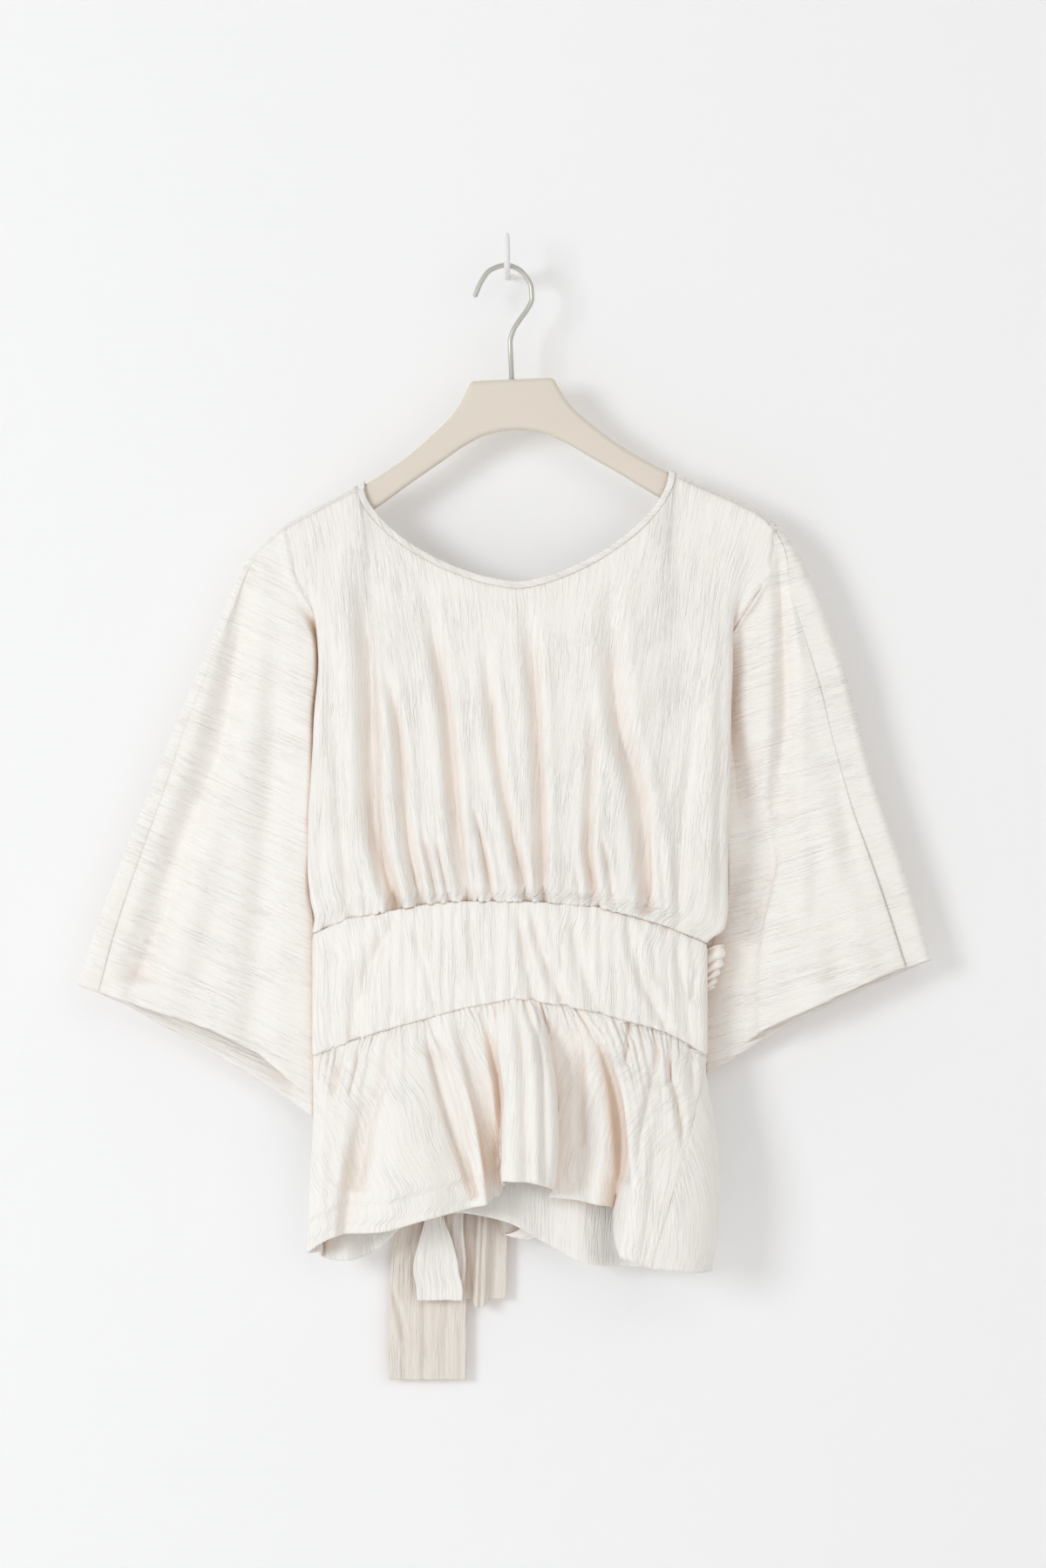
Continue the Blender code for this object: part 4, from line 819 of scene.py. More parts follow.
PEPLUM_BACK = table(
    "at x_mid x_hem y_mid y_hem z_hem",
    (0, 136.5, 112.5, -73.5, -77.5, -786),
    (3, 150, 132, -68, -74, -789),
    (6, 161, 150, -60, -66, -791),
    (9, 167, 161, -46, -52, -791),
    (12, 163, 163, -34, -38, -791),
    (20, 152, 158, -28, -28, -790),
    (45, 120, 128, -33, -36, -790),
    (75, 88, 95, -25, -24, -791),
    (105, 60, 62, -33, -36, -787),
    (135, 30, 30, -27, -28, -772),
    (170, -2, -4, -30, -30, -754),
    (205, -40, -42, -27, -28, -748),
    (235, -72, -76, -30, -32, -754),
    (265, -102, -104, -26, -26, -778),
    (295, -124, -128, -34, -38, -785),
    (325, -142, -146, -30, -30, -783),
    (343, -145, -148, -33, -36, -781),
)
FRONT_SHARE = 333.0 / 346.0


def through(first, middle, last, v):
    """A curve down a fold that starts, is halfway and ends at given values."""
    return first * (1 - v) * (1 - 2 * v) + middle * 4 * v * (1 - v) + last * v * (2 * v - 1)


def peplum(rows, start, marks, outward, s, v):
    """A gathered skirt part; start is its upper edge as x, y and z for s."""
    at = rows["at"][0] + (rows["at"][-1] - rows["at"][0]) * s
    sx, sy, sz = start(s)
    x = through(sx, follow(rows["at"], rows["x_mid"], at), follow(rows["at"], rows["x_hem"], at), v)
    y = through(sy, follow(rows["at"], rows["y_mid"], at), follow(rows["at"], rows["y_hem"], at), v)
    z = sz + (follow(rows["at"], rows["z_hem"], at) - sz) * v
    from_seam = v * 160
    rise = (0.25 + 0.75 * ease(from_seam / 9)) * np.exp(-((from_seam / 48) ** 2))
    y = y + outward * 0.3 * gathers(marks, s) * rise * ease(np.minimum(s, 1 - s) / 0.07)
    return x, y, z


PEPLUM_MARKS = gather_marks(PEPLUM_GATHERS, 0.28)
BACK_PEPLUM_MARKS = gather_marks(BACK_PEPLUM_GATHERS, 0.28)


def peplum_front(s, v):
    def start(s):
        x, y, z = band_front(s * (FRONT_SHARE - 0.0016), np.ones(np.shape(s)))
        return x, y + 0.9, z + 1.4

    x, y, z = peplum(PEPLUM_FRONT, start, PEPLUM_MARKS, -1, s, v)
    under = ease((s - 0.985) / 0.015)
    return x + 1.5 * under, y + 1.0 * under, z


def peplum_back(s, v):
    length = PEPLUM_BACK["at"][-1]
    turn = 12.5 / length

    def start(s):
        on_turn = np.clip(s / turn, 0, 1)
        fx, fy, fz = band_front(FRONT_SHARE + 0.0016 + (0.9984 - FRONT_SHARE) * on_turn, np.ones(np.shape(s)))
        bx, by, bz = band_back(1 - np.clip((s - turn) / (1 - turn), 0, 1), np.ones(np.shape(s)))
        here = s <= turn
        return np.where(here, fx, bx), np.where(here, fy, by), np.where(here, fz, bz) - 2 * SEAM_GAP

    return peplum(PEPLUM_BACK, start, BACK_PEPLUM_MARKS, 1, s, v)


# Ties: each stretch is a strip along a route, with its width and how far its middle stands out

ROUTE = "x y z width hump"

TIE_LEFT = table(
    ROUTE,
    (-146, -30, -560, 40, 0.5),
    (-142, -25, -560, 42, 0.6),
    (-128, -21.7, -561, 48, 0.8),
    (-90, -21, -562, 52, 0.8),
    (-48, -18.5, -561, 40, 1.2),
    (-21, -15, -558, 24, 1.5),
)
TIE_RIGHT = table(
    ROUTE,
    (152.5, -31, -562, 42, 0.5),
    (160, -36.5, -560, 40, 0.5),
    (168, -37.5, -557, 36, 0.5),
    (172.5, -33, -556, 34, 0.5),
    (168, -26, -557, 36, 0.5),
    (150, -21, -560, 44, 0.6),
    (128, -20.4, -561, 48, 0.8),
    (80, -20, -562, 52, 0.8),
    (36, -18.5, -561, 40, 1.2),
    (9, -15, -558, 24, 1.5),
)
LOOP_LEFT = table(
    ROUTE,
    (-14, -15.6, -577.6, 15, 1.5),
    (-27, -18.5, -640, 16, 1.5),
    (-50, -20.5, -720, 12, 1.5),
    (-58, -21, -752, 15, 1.0),
    (-57, -21, -772, 27, 0.8),
    (-57, -20.5, -793, 36, 0.5),
    (-54, -19.5, -810, 37, 0.3),
    (-54, -17, -819, 36, 0.3),
    (-53, -14.5, -810, 37, 0.3),
    (-50, -14, -793, 34, 0.3),
    (-47, -14, -752, 24, 0.3),
    (-27, -13.4, -640, 20, 0.3),
    (-14, -12, -577.6, 15, 0.3),
)
LOOP_RIGHT = table(
    ROUTE,
    (3.5, -15.6, -577.6, 14, 1.5),
    (12, -18.5, -640, 14, 1.5),
    (24, -22, -715, 9, 1.5),
    (25.5, -22.5, -740, 12, 1.0),
    (25, -21.5, -756, 17, 0.5),
    (13, -18, -766, 28, 0.3),
    (9, -14.5, -756, 31, 0.3),
    (8, -14, -738, 38, 0.3),
    (8, -13.4, -640, 27, 0.3),
    (3.5, -12, -577.6, 14, 0.3),
)
TAIL_LEFT = table(
    ROUTE,
    (-14, -9, -577, 15, 0.3),
    (-34, -9, -650, 36, 0.8),
    (-56, -8.5, -740, 56, 1.0),
    (-63, -8, -800, 61, 1.0),
    (-64, -8, -884, 62, 1.0),
)
TAIL_RIGHT = table(
    ROUTE,
    (4, -9, -577, 14, 0.3),
    (-6, -9, -650, 26, 0.6),
    (-17, -8.5, -740, 36, 0.6),
    (-20, -8, -819, 38, 0.6),
)
KNOT = {"x": -6.0, "y": -12.0, "z": -558.0, "width": 33.0, "depth": 12.0, "height": 38.0}


def strip(route, upright, s, v):
    """A strip along its route: v runs along it and s across it, edge to edge."""
    steps = [np.diff(route[n]) for n in "xyz"]
    at = np.concatenate([[0], np.cumsum(np.sqrt(sum(d * d for d in steps)))])
    along = v * at[-1]
    x, y, z, width, hump = (follow(at, route[n], along) for n in ("x", "y", "z", "width", "hump"))
    c = s - 0.5
    out = hump * (1 - (2 * c) ** 2)
    ends = ease(np.minimum(v, 1 - v) / 0.1)
    before, after = np.clip(along - 2, 0, at[-1]), np.clip(along + 2, 0, at[-1])
    tangent = [follow(at, route[n], after) - follow(at, route[n], before) for n in "xyz"]
    if upright:
        size = np.hypot(tangent[0], tangent[1])
        return x - out * ends * tangent[1] / size, y + out * ends * tangent[0] / size, z + c * width
    size = np.hypot(tangent[1], tangent[2])
    return x + c * width, y + out * ends * tangent[2] / size, z - out * ends * tangent[1] / size


EDGE_ROUND = 4.2
HOLE_DEPTH = 22.0
HOOK_ROUTE = table(
    "out rise",
    (-26, -18),
    (-21.5, -8.5),
    (-13, 1.5),
    (-1, 4.8),
    (8, 1.8),
    (15, -5.5),
    (18.6, -14),
    (18.8, -22),
    (14.6, -31),
    (8, -39.5),
    (2.5, -48),
    (0, -57),
    (0, -88 - HOLE_DEPTH + 2.5),
)


# Relief: noise, crinkles, puckers and creases, all in mm


def lattice(seed, i, j):
    h = (i * 374761393 + j * 668265263 + seed * 2147483647) & 0xFFFFFFFF
    h = ((h ^ (h >> 13)) * 1274126177) & 0xFFFFFFFF
    return ((h ^ (h >> 16)) & 0xFFFF) / 65535.0


def noise(seed, u, v):
    """Smooth noise from -1 to 1, one feature a unit."""
    u, v = np.broadcast_arrays(u, v)
    i, j = np.floor(u).astype(np.int64), np.floor(v).astype(np.int64)
    fu, fv = u - i, v - j
    fu, fv = fu * fu * fu * (fu * (fu * 6 - 15) + 10), fv * fv * fv * (fv * (fv * 6 - 15) + 10)
    a, b = lattice(seed, i, j), lattice(seed, i + 1, j)
    c, d = lattice(seed, i, j + 1), lattice(seed, i + 1, j + 1)
    return ((a * (1 - fu) + b * fu) * (1 - fv) + (c * (1 - fu) + d * fu) * fv) * 2 - 1


def crinkle(seed, across, along):
    """Long uneven wrinkles of a crepe: across and along are places on the cloth in mm."""
    wander = 7.0 * noise(seed + 9, across / 55, along / 60) + 1.6 * noise(seed + 10, across / 14, along / 22)
    a = across + wander
    swell = 0.5 * noise(seed, a / 15, along / 120)
    patch = 0.55 + 0.45 * noise(seed + 3, across / 38, along / 55)
    line = np.exp(-((noise(seed + 1, a / 10, along / 75) / 0.34) ** 2))
    short = np.exp(-((noise(seed + 2, a / 7, along / 34) / 0.4) ** 2))
    return swell - patch * (0.5 * line + 0.2 * short)


def puckers(seed, a, d, spacing, depth, reach):
    """Uneven small ridges that start at a gathered seam: a mm along it, d mm away from it."""
    t = a / spacing + 0.6 * noise(seed, a / (2.6 * spacing), d / (1.7 * reach))
    own = 0.6 + 0.4 * noise(seed + 1, a / (1.7 * spacing), d * 0)
    ridge = np.abs(np.cos(math.pi * t)) ** 0.8 - 0.64
    return depth * own * ridge * np.exp(-((d / (reach * (0.35 + own))) ** 2))


def creases(rows, x, z):
    """Soft troughs that wander down the cloth."""
    total = np.zeros(np.shape(x))
    for row in zip(*rows.values()):
        x0, z0, x1, z1, x2, z2, x3, z3, wide0, wide1, deep = row
        middle = follow(np.array([z3, z2, z1, z0]), np.array([x3, x2, x1, x0]), z)
        t = np.clip((z0 - z) / (z0 - z3), 0, 1)
        wide = wide0 + (wide1 - wide0) * t
        reach = ease((z0 + 0.12 * (z0 - z3) - z) / (0.4 * (z0 - z3))) * ease((z - z3 + 6) / 6)
        near = np.abs(x - middle - 0.6 * wide) / wide
        total += 1.35 * deep * reach * (np.exp(-(near**1.7)) - 0.25 * np.exp(-((near - 2.0) ** 2)))
    return total


# Pieces


SHEET_WALL = 0.8


def linked(name, data):
    """A new object of the scene."""
    obj = bpy.data.objects.new(name, data)
    bpy.context.scene.collection.objects.link(obj)
    return obj


def declared(obj, node):
    """A piece of the part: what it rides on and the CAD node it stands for."""
    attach(obj, "root")
    if node:
        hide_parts(node)


def facing_out(mesh, merge=0.0):
    """Turns the faces of a closed mesh outward; places closer than merge become one."""
    work = bmesh.new()
    work.from_mesh(mesh)
    if merge:
        bmesh.ops.remove_doubles(work, verts=work.verts, dist=merge)
    bmesh.ops.recalc_face_normals(work, faces=work.faces)
    work.to_mesh(mesh)
    work.free()


def shown(name, places, faces, uv, node, material, uv_faces=None):
    """A sheet of cloth from its middle surface, in mm."""
    faces = np.asarray(faces)
    used, index = np.unique(faces, return_inverse=True)
    mesh = bpy.data.meshes.new(name)
    mesh.from_pydata((places[used] * MM).tolist(), [], index.reshape(faces.shape).tolist())
    layer = mesh.uv_layers.new(name="cloth")
    corners = uv[(faces if uv_faces is None else uv_faces).ravel()]
    layer.data.foreach_set("uv", (corners * MM).astype(np.float32).ravel())
    mesh.update()
    mesh.shade_smooth()
    obj = linked(name, mesh)
    thick = obj.modifiers.new("wall", "SOLIDIFY")
    thick.thickness = SHEET_WALL * MM
    thick.offset = 0
    thick.use_rim = True
    mesh.materials.append(material)
    declared(obj, node)


def grid(place, s, v):
    """The places of a surface at every s and v."""
    ss, vv = np.meshgrid(np.asarray(s, float), np.asarray(v, float))
    return np.stack(place(ss, vv), axis=-1)


def quads(index):
    """The faces between the rows and columns of a grid of numbered places."""
    a, b, c, d = index[:-1, 1:], index[:-1, :-1], index[1:, :-1], index[1:, 1:]
    return np.stack([a.ravel(), b.ravel(), c.ravel(), d.ravel()], axis=-1)


def arc_lengths(points):
    """Cloth coordinates of a grid of places: along its rows from the middle column, and down its columns."""
    across = np.linalg.norm(np.diff(points, axis=1), axis=2)
    across = np.concatenate([np.zeros((len(points), 1)), np.cumsum(across, axis=1)], axis=1)
    across -= across[:, across.shape[1] // 2][:, None]
    down = np.linalg.norm(np.diff(points, axis=0), axis=2)
    down = np.concatenate([np.zeros((1, points.shape[1])), np.cumsum(down, axis=0)], axis=0)
    return np.stack([across, down], axis=-1)


def normals(points):
    """Directions square to a grid of places."""
    du = np.gradient(points, axis=1)
    dv = np.gradient(points, axis=0)
    n = np.cross(dv, du)
    return n / np.maximum(np.linalg.norm(n, axis=2, keepdims=True), 1e-9)


# A crease: four places down it, its width at its two ends and its depth
CREASE = "x0 z0 x1 z1 x2 z2 x3 z3 wide0 wide1 deep"

# Creases of the front, from the neck down to the waistband
CREASES = table(
    CREASE,
    (-119, -236, -113, -350, -110, -430, -91, -506, 9.0, 5.5, 7.0),
    (-102, -300, -88, -372, -84, -430, -70, -506, 4.0, 4.5, 4.4),
    (-66, -262, -50, -360, -44, -430, -33, -503, 5.5, 4.5, 5.6),
    (-68, -446, -64, -465, -60, -485, -56, -503, 2.4, 2.6, 2.6),
    (-58, -448, -54, -465, -50, -485, -46, -503, 2.2, 2.4, 2.2),
    (-20, -300, -9, -395, 0, -440, 15, -503, 4.5, 4.0, 4.6),
    (-28, -425, -22, -450, -17, -475, -12, -503, 2.4, 2.4, 2.8),
    (-31, -455, -28, -470, -26, -485, -24, -500, 2.0, 2.0, 2.2),
    (13, -268, 21, -370, 24, -430, 26, -503, 5.5, 4.0, 5.4),
    (66, -345, 64, -400, 61, -455, 69, -503, 4.0, 3.6, 3.8),
    (76, -258, 82, -345, 101, -425, 108, -506, 8.0, 6.0, 6.4),
    (74, -450, 77, -468, 80, -486, 83, -503, 2.4, 2.4, 2.2),
    (118, -440, 119, -462, 121, -485, 123, -510, 3.5, 3.0, 2.0),
    (-140, -330, -138, -400, -133, -460, -126, -512, 6.0, 4.0, 2.4),
    (150, -330, 141, -400, 134, -460, 133, -518, 5.0, 4.0, 1.8),
)
# Cloth between the side lines: its width and its drop, as its threads run; the spacing of its gathers
FLAT_WIDTH = 560.0
FLAT_LENGTH = 350.0
SMALL_GATHERS = 6.6
LARGE_GATHERS = 13.0


def front_threads(s, v, z):
    """Cloth coordinates of the front, whose threads fan out from the shoulders."""
    t = across_face(s)
    lean = 0.2 * ease((t - 0.45) / 0.4) - 0.12 * ease((0.5 - t) / 0.4)
    return s * FLAT_WIDTH - lean * (z + 380), v * FLAT_LENGTH


def seam_of_band(x):
    return np.interp(x, BAND["x"], BAND["top"])


def front_body_shown(s, v):
    """The front, with its lower edge scalloped by the gathers where it laps over the band."""
    x, y, z = front_body(s, v)
    face = ease((1 - np.abs(2 * across_face(s) - 1)) / 0.06)
    near = np.exp(-(((z - seam_of_band(x)) / 4.0) ** 2)) * face
    scallop = puckers(31, x, x * 0, SMALL_GATHERS, 1.0, 30.0) + 0.4
    under = np.exp(-((v * FLAT_LENGTH / 2.5) ** 2))
    under = under * ease((s - FRONT_NECK[0]) / 0.01) * ease((FRONT_NECK[1] - s) / 0.01)
    return x, y - 1.0 * near + 0.5 * under, z - (0.3 + 1.5 * scallop) * near + 1.3 * under


def front_body_relief(s, v, base):
    """Gathers above the band, creases, and the deeper folds beside the body's own side lines."""
    x, z = base[..., 0], base[..., 2]
    d = np.maximum(z - seam_of_band(x), 0)
    t = across_face(s)
    face = ease((1 - np.abs(2 * t - 1)) / 0.05)
    spread = 0.16 + 0.84 * ease((t - 0.03) / 0.1) * ease((0.84 - t) / 0.1)
    out = puckers(31, x, d, SMALL_GATHERS, 2.2, 14.0)
    out = out + puckers(33, x, d, LARGE_GATHERS, 3.4, 38.0) * ease(d / 6)
    out = out * spread - creases(CREASES, x, z)
    from_left, from_right = x - side_x(z, -1), x - side_x(z, 1)
    lift = np.exp(-(((from_right + 19) / 17) ** 2)) * ease((-z - 250) / 110) * ease((z + 526) / 50)
    out += 6.0 * lift - 5.0 * np.exp(-(((from_left - 2) / 8) ** 2)) * ease((-z - 215) / 30)
    out -= 4.0 * np.exp(-(((from_right + 2) / 9) ** 2)) * ease((z + 320) / 60)
    out = out * face + 0.9 * crinkle(21, *front_threads(s, v, z)) * (0.3 + 0.7 * ease(d / 22))
    shoulder = ease((FRONT_NECK[0] - s) / 0.02) + ease((s - FRONT_NECK[1]) / 0.02)
    return out * ease(v / 0.012) + 0.7 * shoulder * np.exp(-((v * 330 / 3) ** 2))


def without_kinks(points, columns):
    """Smooths a grid across the columns where its upper edge turns from neck to shoulder."""
    share = ease(np.arange(len(points)) / 8)[:, None, None]
    reach, passes = 14, 60
    for _ in range(passes):
        for c in columns:
            part = points[:, c - reach - 1 : c + reach + 2]
            middle = (part[:, :-2] + part[:, 2:]) / 2
            points[:, c - reach : c + reach + 1] = part[:, 1:-1] * (1 - share) + middle * share
    return points


def panel_mesh(name, body, sleeve, kind, relief, sleeve_relief, threads, s, v, u, w_below, node, cut=None):
    """A body panel with both its sleeves, joined to it above the underarms; cut leaves out its neckline."""
    shared = int(np.abs(np.asarray(v) - UNDERARM_V).argmin())
    w = np.concatenate([w_of_v(kind, np.asarray(v[: shared + 1])), w_below])
    base = grid(body, s, v)
    ss, vv = np.meshgrid(s, v)
    if not cut:
        base = without_kinks(base, [int(np.abs(s - n).argmin()) for n in FRONT_NECK])
    index = np.arange(ss.size).reshape(ss.shape)
    faces = quads(index)
    if cut:
        row, col = np.divmod(np.arange(len(faces)), base.shape[1] - 1)
        faces = faces[~((row < cut[0]) & (col >= cut[1]) & (col < cut[2]))]
    faces, uv_faces = [faces], [faces]
    uv = [np.stack(threads(ss, vv, base[..., 2]), axis=-1).reshape(-1, 2)]
    flat = [(base + normals(base) * relief(ss, vv, base)[..., None]).reshape(-1, 3)]
    count = index.size
    for side in (-1, 1):
        piece = grid(lambda a, b: sleeve(side, a, b), u, w)
        uu, ww = np.meshgrid(u, w)
        turn = sleeve_turn(side, piece[..., 0], piece[..., 2])
        piece = piece + normals(piece) * side * sleeve_relief(side, uu, ww, piece)[..., None]
        own = count + np.arange(uu.size).reshape(uu.shape)
        count += own.size
        uv_faces.append(quads(own if side > 0 else own[:, ::-1]))
        own[: shared + 1, 0] = index[: shared + 1, 0 if side < 0 else -1]
        faces.append(quads(own if side > 0 else own[:, ::-1]))
        flat.append(piece.reshape(-1, 3))
        uv.append(np.stack(turn, axis=-1).reshape(-1, 2))
    flat, faces, uv, uv_faces = (np.concatenate(c) for c in (flat, faces, uv, uv_faces))
    shown(name, flat, faces, uv, node, COTTON, uv_faces)


def fine(stops, counts):
    """Stops with even steps between them: so many places from each to the next."""
    runs = [np.linspace(a, b, n) for a, b, n in zip(stops[:-1], stops[1:], counts)]
    return np.unique(np.concatenate(runs))


def sleeve_turn(side, x, z):
    """Cloth coordinates of a sleeve, whose threads have swung round with it as it hangs."""
    a = math.radians(72 if side > 0 else -66)
    return x * math.cos(a) - z * math.sin(a) + 900, x * math.sin(a) + z * math.cos(a) + side * 900


def sleeve_crinkle(side, seed, piece, v):
    """Crinkles that run on from the body's cloth and turn with the sleeve's own."""
    edge_s, deep = (0.0, 0.25) if side < 0 else (1.0, 0.55)
    x, z = piece[..., 0], piece[..., 2]
    from_line = np.abs(x - piece[:, :1, 0])
    k = ease((from_line - 4) / 45)
    near = crinkle(seed, edge_s * FLAT_WIDTH + side * from_line, v * FLAT_LENGTH)
    return 0.9 * near * (1 - k) + deep * crinkle(seed + 40, *sleeve_turn(side, x, z)) * k


# Creases of the sleeves, as those of the front
SLEEVE_CREASES = {
    -1: table(
        CREASE,
        (-213, -250, -238, -380, -266, -450, -303, -560, 10.0, 15.0, 7.0),
        (-186, -330, -196, -430, -206, -520, -214, -610, 9.0, 12.0, 1.6),
        (-262, -480, -278, -520, -292, -555, -303, -572, 3.0, 5.0, 2.0),
    ),
    1: table(
        CREASE,
        (213, -226, 216, -290, 217, -340, 212, -430, 4.5, 8.0, 4.5),
        (262, -330, 268, -400, 262, -470, 250, -560, 10.0, 14.0, 1.6),
        (232, -420, 240, -470, 236, -520, 224, -585, 7.0, 9.0, 1.6),
    ),
}
# How deep and how wide each sleeve hollows beside the body, down its inner line
HOLLOWS = {
    -1: table(
        "z deep wide",
        (-215, -2, 8), (-255, -1, 9), (-300, 3, 11), (-345, 4, 11), (-375, 1, 9),
        (-415, -5, 9), (-455, -4, 9), (-480, -2, 8), (-545, 0, 6),
    ),
    1: table(
        "z deep wide",
        (-215, 0, 12), (-240, 0, 12), (-265, -4, 12), (-290, -4, 12), (-310, 0, 13),
        (-340, 4, 14), (-380, 6, 22), (-450, 3, 26), (-520, 0, 26),
    ),
}


SLEEVE_HEM = 11.0
PEPLUM_HEM = 12.0


def hem(d, wide):
    """A turned-up hem: a small step, and the dip along its line of stitches; d runs in from the edge."""
    return 0.45 * ease((wide + 0.8 - d) / 1.6) - 0.5 * np.exp(-(((d - wide + 1.2) / 0.8) ** 2))


def front_sleeve_relief(side, u, w, piece):
    """Crinkles and creases, the hollow beside the body, the overarm seam and the hem."""
    x, z = piece[..., 0], piece[..., 2]
    v = v_of_w("seam", np.minimum(w, 0.5))
    out = sleeve_crinkle(side, 21, piece, v)
    out -= creases(SLEEVE_CREASES[side], x, z) * ease((1 - u) / 0.1)
    from_line = np.abs(x - piece[:, :1, 0])
    rows = HOLLOWS[side]
    deep, wide = by_height(rows, "deep", z), by_height(rows, "wide", z)
    out -= deep * ease(from_line / 4) * np.exp(-((from_line / wide) ** 2))
    if side > 0:
        out -= 14.0 * np.exp(-(((from_line - 28) / 24) ** 2)) * ease((-z - 350) / 90)
    from_seam = np.abs(x - piece[:, -1:, 0])
    seam_step = 0.35 if side < 0 else 0.35 - 1.05 * ease(w / 0.15)
    out = out * ease((1 - u) / 0.03) + seam_step * np.exp(-((from_seam / 3.2) ** 2)) * ease(w / 0.02)
    return out + hem(np.abs(z - piece[-1:, :, 2]), SLEEVE_HEM) * ease((w - 0.5) / 0.1)


def back_body_relief(s, v, base):
    """Gathers above the band and crinkles."""
    x, z = base[..., 0], base[..., 2]
    d = np.maximum(z - np.interp(x, BACK_BAND["x"], BACK_BAND["top"]), 0)
    out = puckers(51, x, d, SMALL_GATHERS, 1.3, 13.0)
    out = out + puckers(53, x, d, LARGE_GATHERS, 2.4, 40.0) * ease(d / 6)
    out = out * ease(np.minimum(s, 1 - s) / 0.05) + crinkle(61, s * FLAT_WIDTH, v * FLAT_LENGTH)
    return -out * ease((v + 0.02) / 0.1)


def back_sleeve_relief(side, u, w, piece):
    """Crinkles and the hem."""
    v = v_of_w("strip", np.minimum(w, 0.5))
    out = sleeve_crinkle(side, 61, piece, v)
    turned_up = hem(np.abs(piece[..., 2] - piece[-1:, :, 2]), SLEEVE_HEM)
    return -out * ease((1 - u) / 0.03) - turned_up * ease((w - 0.5) / 0.1)


def back_threads(s, v, _):
    """Cloth coordinates of the back, clear of the front's."""
    return s * FLAT_WIDTH + 2000, v * FLAT_LENGTH


# Materials


def fed(tree, node, **inputs):
    """The node with some of its inputs set: to a value, or linked from a socket."""
    for key, value in inputs.items():
        feed(tree, node.inputs[key.replace("_", " ")], value)
    return node


def feed(tree, socket, value):
    if isinstance(value, bpy.types.NodeSocket):
        tree.links.new(value, socket)
    else:
        socket.default_value = value


def add(tree, kind, **inputs):
    return fed(tree, tree.nodes.new("ShaderNode" + kind), **inputs)


def new_material(name, **inputs):
    """A material with its node tree and its shader."""
    material = bpy.data.materials.new(name)
    material.use_nodes = True
    tree = material.node_tree
    return material, tree, fed(tree, tree.nodes["Principled BSDF"], **inputs)


def arithmetic(tree, operation, *values):
    node = tree.nodes.new("ShaderNodeMath")
    node.operation = operation
    for socket, value in zip(node.inputs, values):
        feed(tree, socket, value)
    return node.outputs[0]


def between(tree, value, low, high, to_low, to_high):
    node = add(tree, "MapRange", Value=value, From_Min=low, From_Max=high, To_Min=to_low, To_Max=to_high)
    node.interpolation_type = "SMOOTHSTEP"
    return node.outputs[0]


def blend(tree, share, first, second):
    node = tree.nodes.new("ShaderNodeMix")
    node.data_type = "RGBA"
    for number, value in ((0, share), (6, first), (7, second)):
        feed(tree, node.inputs[number], value)
    return node.outputs[2]


def cloth_material(name, lit, deep):
    """Crinkled cotton with painted shade: its colour turns from lit to deep where ambient occlusion finds
    hollows; with long crease lines, a crepe grain and a plain weave.
    """
    material, tree, shader = new_material(
        name, Roughness=0.93, Specular_IOR_Level=0.18, Sheen_Weight=0.06, Sheen_Roughness=0.6
    )
    where = add(tree, "UVMap")
    where.uv_map = "cloth"
    on_cloth = where.outputs["UV"]

    def grain(across, along, detail, distortion=0.0):
        """Noise whose features measure so many mm across and along the threads."""
        mapping = add(tree, "Mapping", Vector=on_cloth, Scale=(1000 / across, 1000 / along, 1))
        scaled = mapping.outputs["Vector"]
        node = add(tree, "TexNoise", Vector=scaled, Scale=1.0, Detail=detail, Distortion=distortion)
        return node.outputs["Fac"]

    def waves(scale, direction):
        node = add(tree, "TexWave", Vector=on_cloth, Scale=scale, Distortion=1.5, Detail=1.0)
        node.bands_direction = direction
        return node.outputs["Fac"]

    def lines(across, along, wide, distortion):
        """Narrow valleys along the middle value of a noise."""
        off = arithmetic(tree, "SUBTRACT", grain(across, along, 1.0, distortion), 0.5)
        return between(tree, arithmetic(tree, "ABSOLUTE", off), 0.0, wide, 0.0, 1.0)

    patch = between(tree, grain(34, 60, 1.0), 0.38, 0.62, 0.4, 1.0)
    long_lines = lines(5, 80, 0.06, 0.4)
    short_lines = lines(3, 28, 0.08, 0.3)
    both_lines = arithmetic(tree, "ADD", long_lines, arithmetic(tree, "MULTIPLY", short_lines, 0.6))
    crease = arithmetic(tree, "MULTIPLY", both_lines, patch)
    crepe = grain(2.6, 11, 2.0)
    threads = arithmetic(tree, "ADD", waves(420.0, "X"), waves(380.0, "Y"))
    slub = between(tree, grain(1.6, 40, 2.0), 0.35, 0.65, 0.0, 1.0)
    # Painted shade: ambient occlusion turns the colour towards deep in hollows, creases and between parts
    shade = add(tree, "AmbientOcclusion", Distance=0.03)
    shade.samples = 5
    unshaded_share = between(tree, shade.outputs["AO"], 0.0, 0.88, 0.0, 1.0)
    warmer = [c * k for c, k in zip(lit, (0.985, 0.972, 0.955))]
    tone = blend(tree, slub, (*warmer, 1), (*lit, 1))
    tree.links.new(blend(tree, unshaded_share, (*deep, 1), tone), shader.inputs["Base Color"])
    big = add(tree, "Bump", Height=crease, Strength=0.62, Distance=0.00063)
    middle = add(tree, "Bump", Height=crepe, Strength=0.5, Distance=0.0007, Normal=big.outputs[0])
    small = add(tree, "Bump", Height=threads, Strength=0.2, Distance=0.0001, Normal=middle.outputs[0])
    tree.links.new(small.outputs[0], shader.inputs["Normal"])
    return material


# Lit colour, then the colour of painted shade that ambient occlusion brings into hollows
COTTON = cloth_material("crinkled_cotton", (0.915, 0.893, 0.86), (0.80, 0.61, 0.48))
# The tails' cotton: the same cloth with a darker lit colour, painted shade for the tails that hang close to
# the wall behind the peplum
SHADED_TAIL_COTTON = cloth_material("crinkled_cotton_tail_painted_shade", (0.80, 0.75, 0.69), (0.74, 0.57, 0.46))

# Front and back

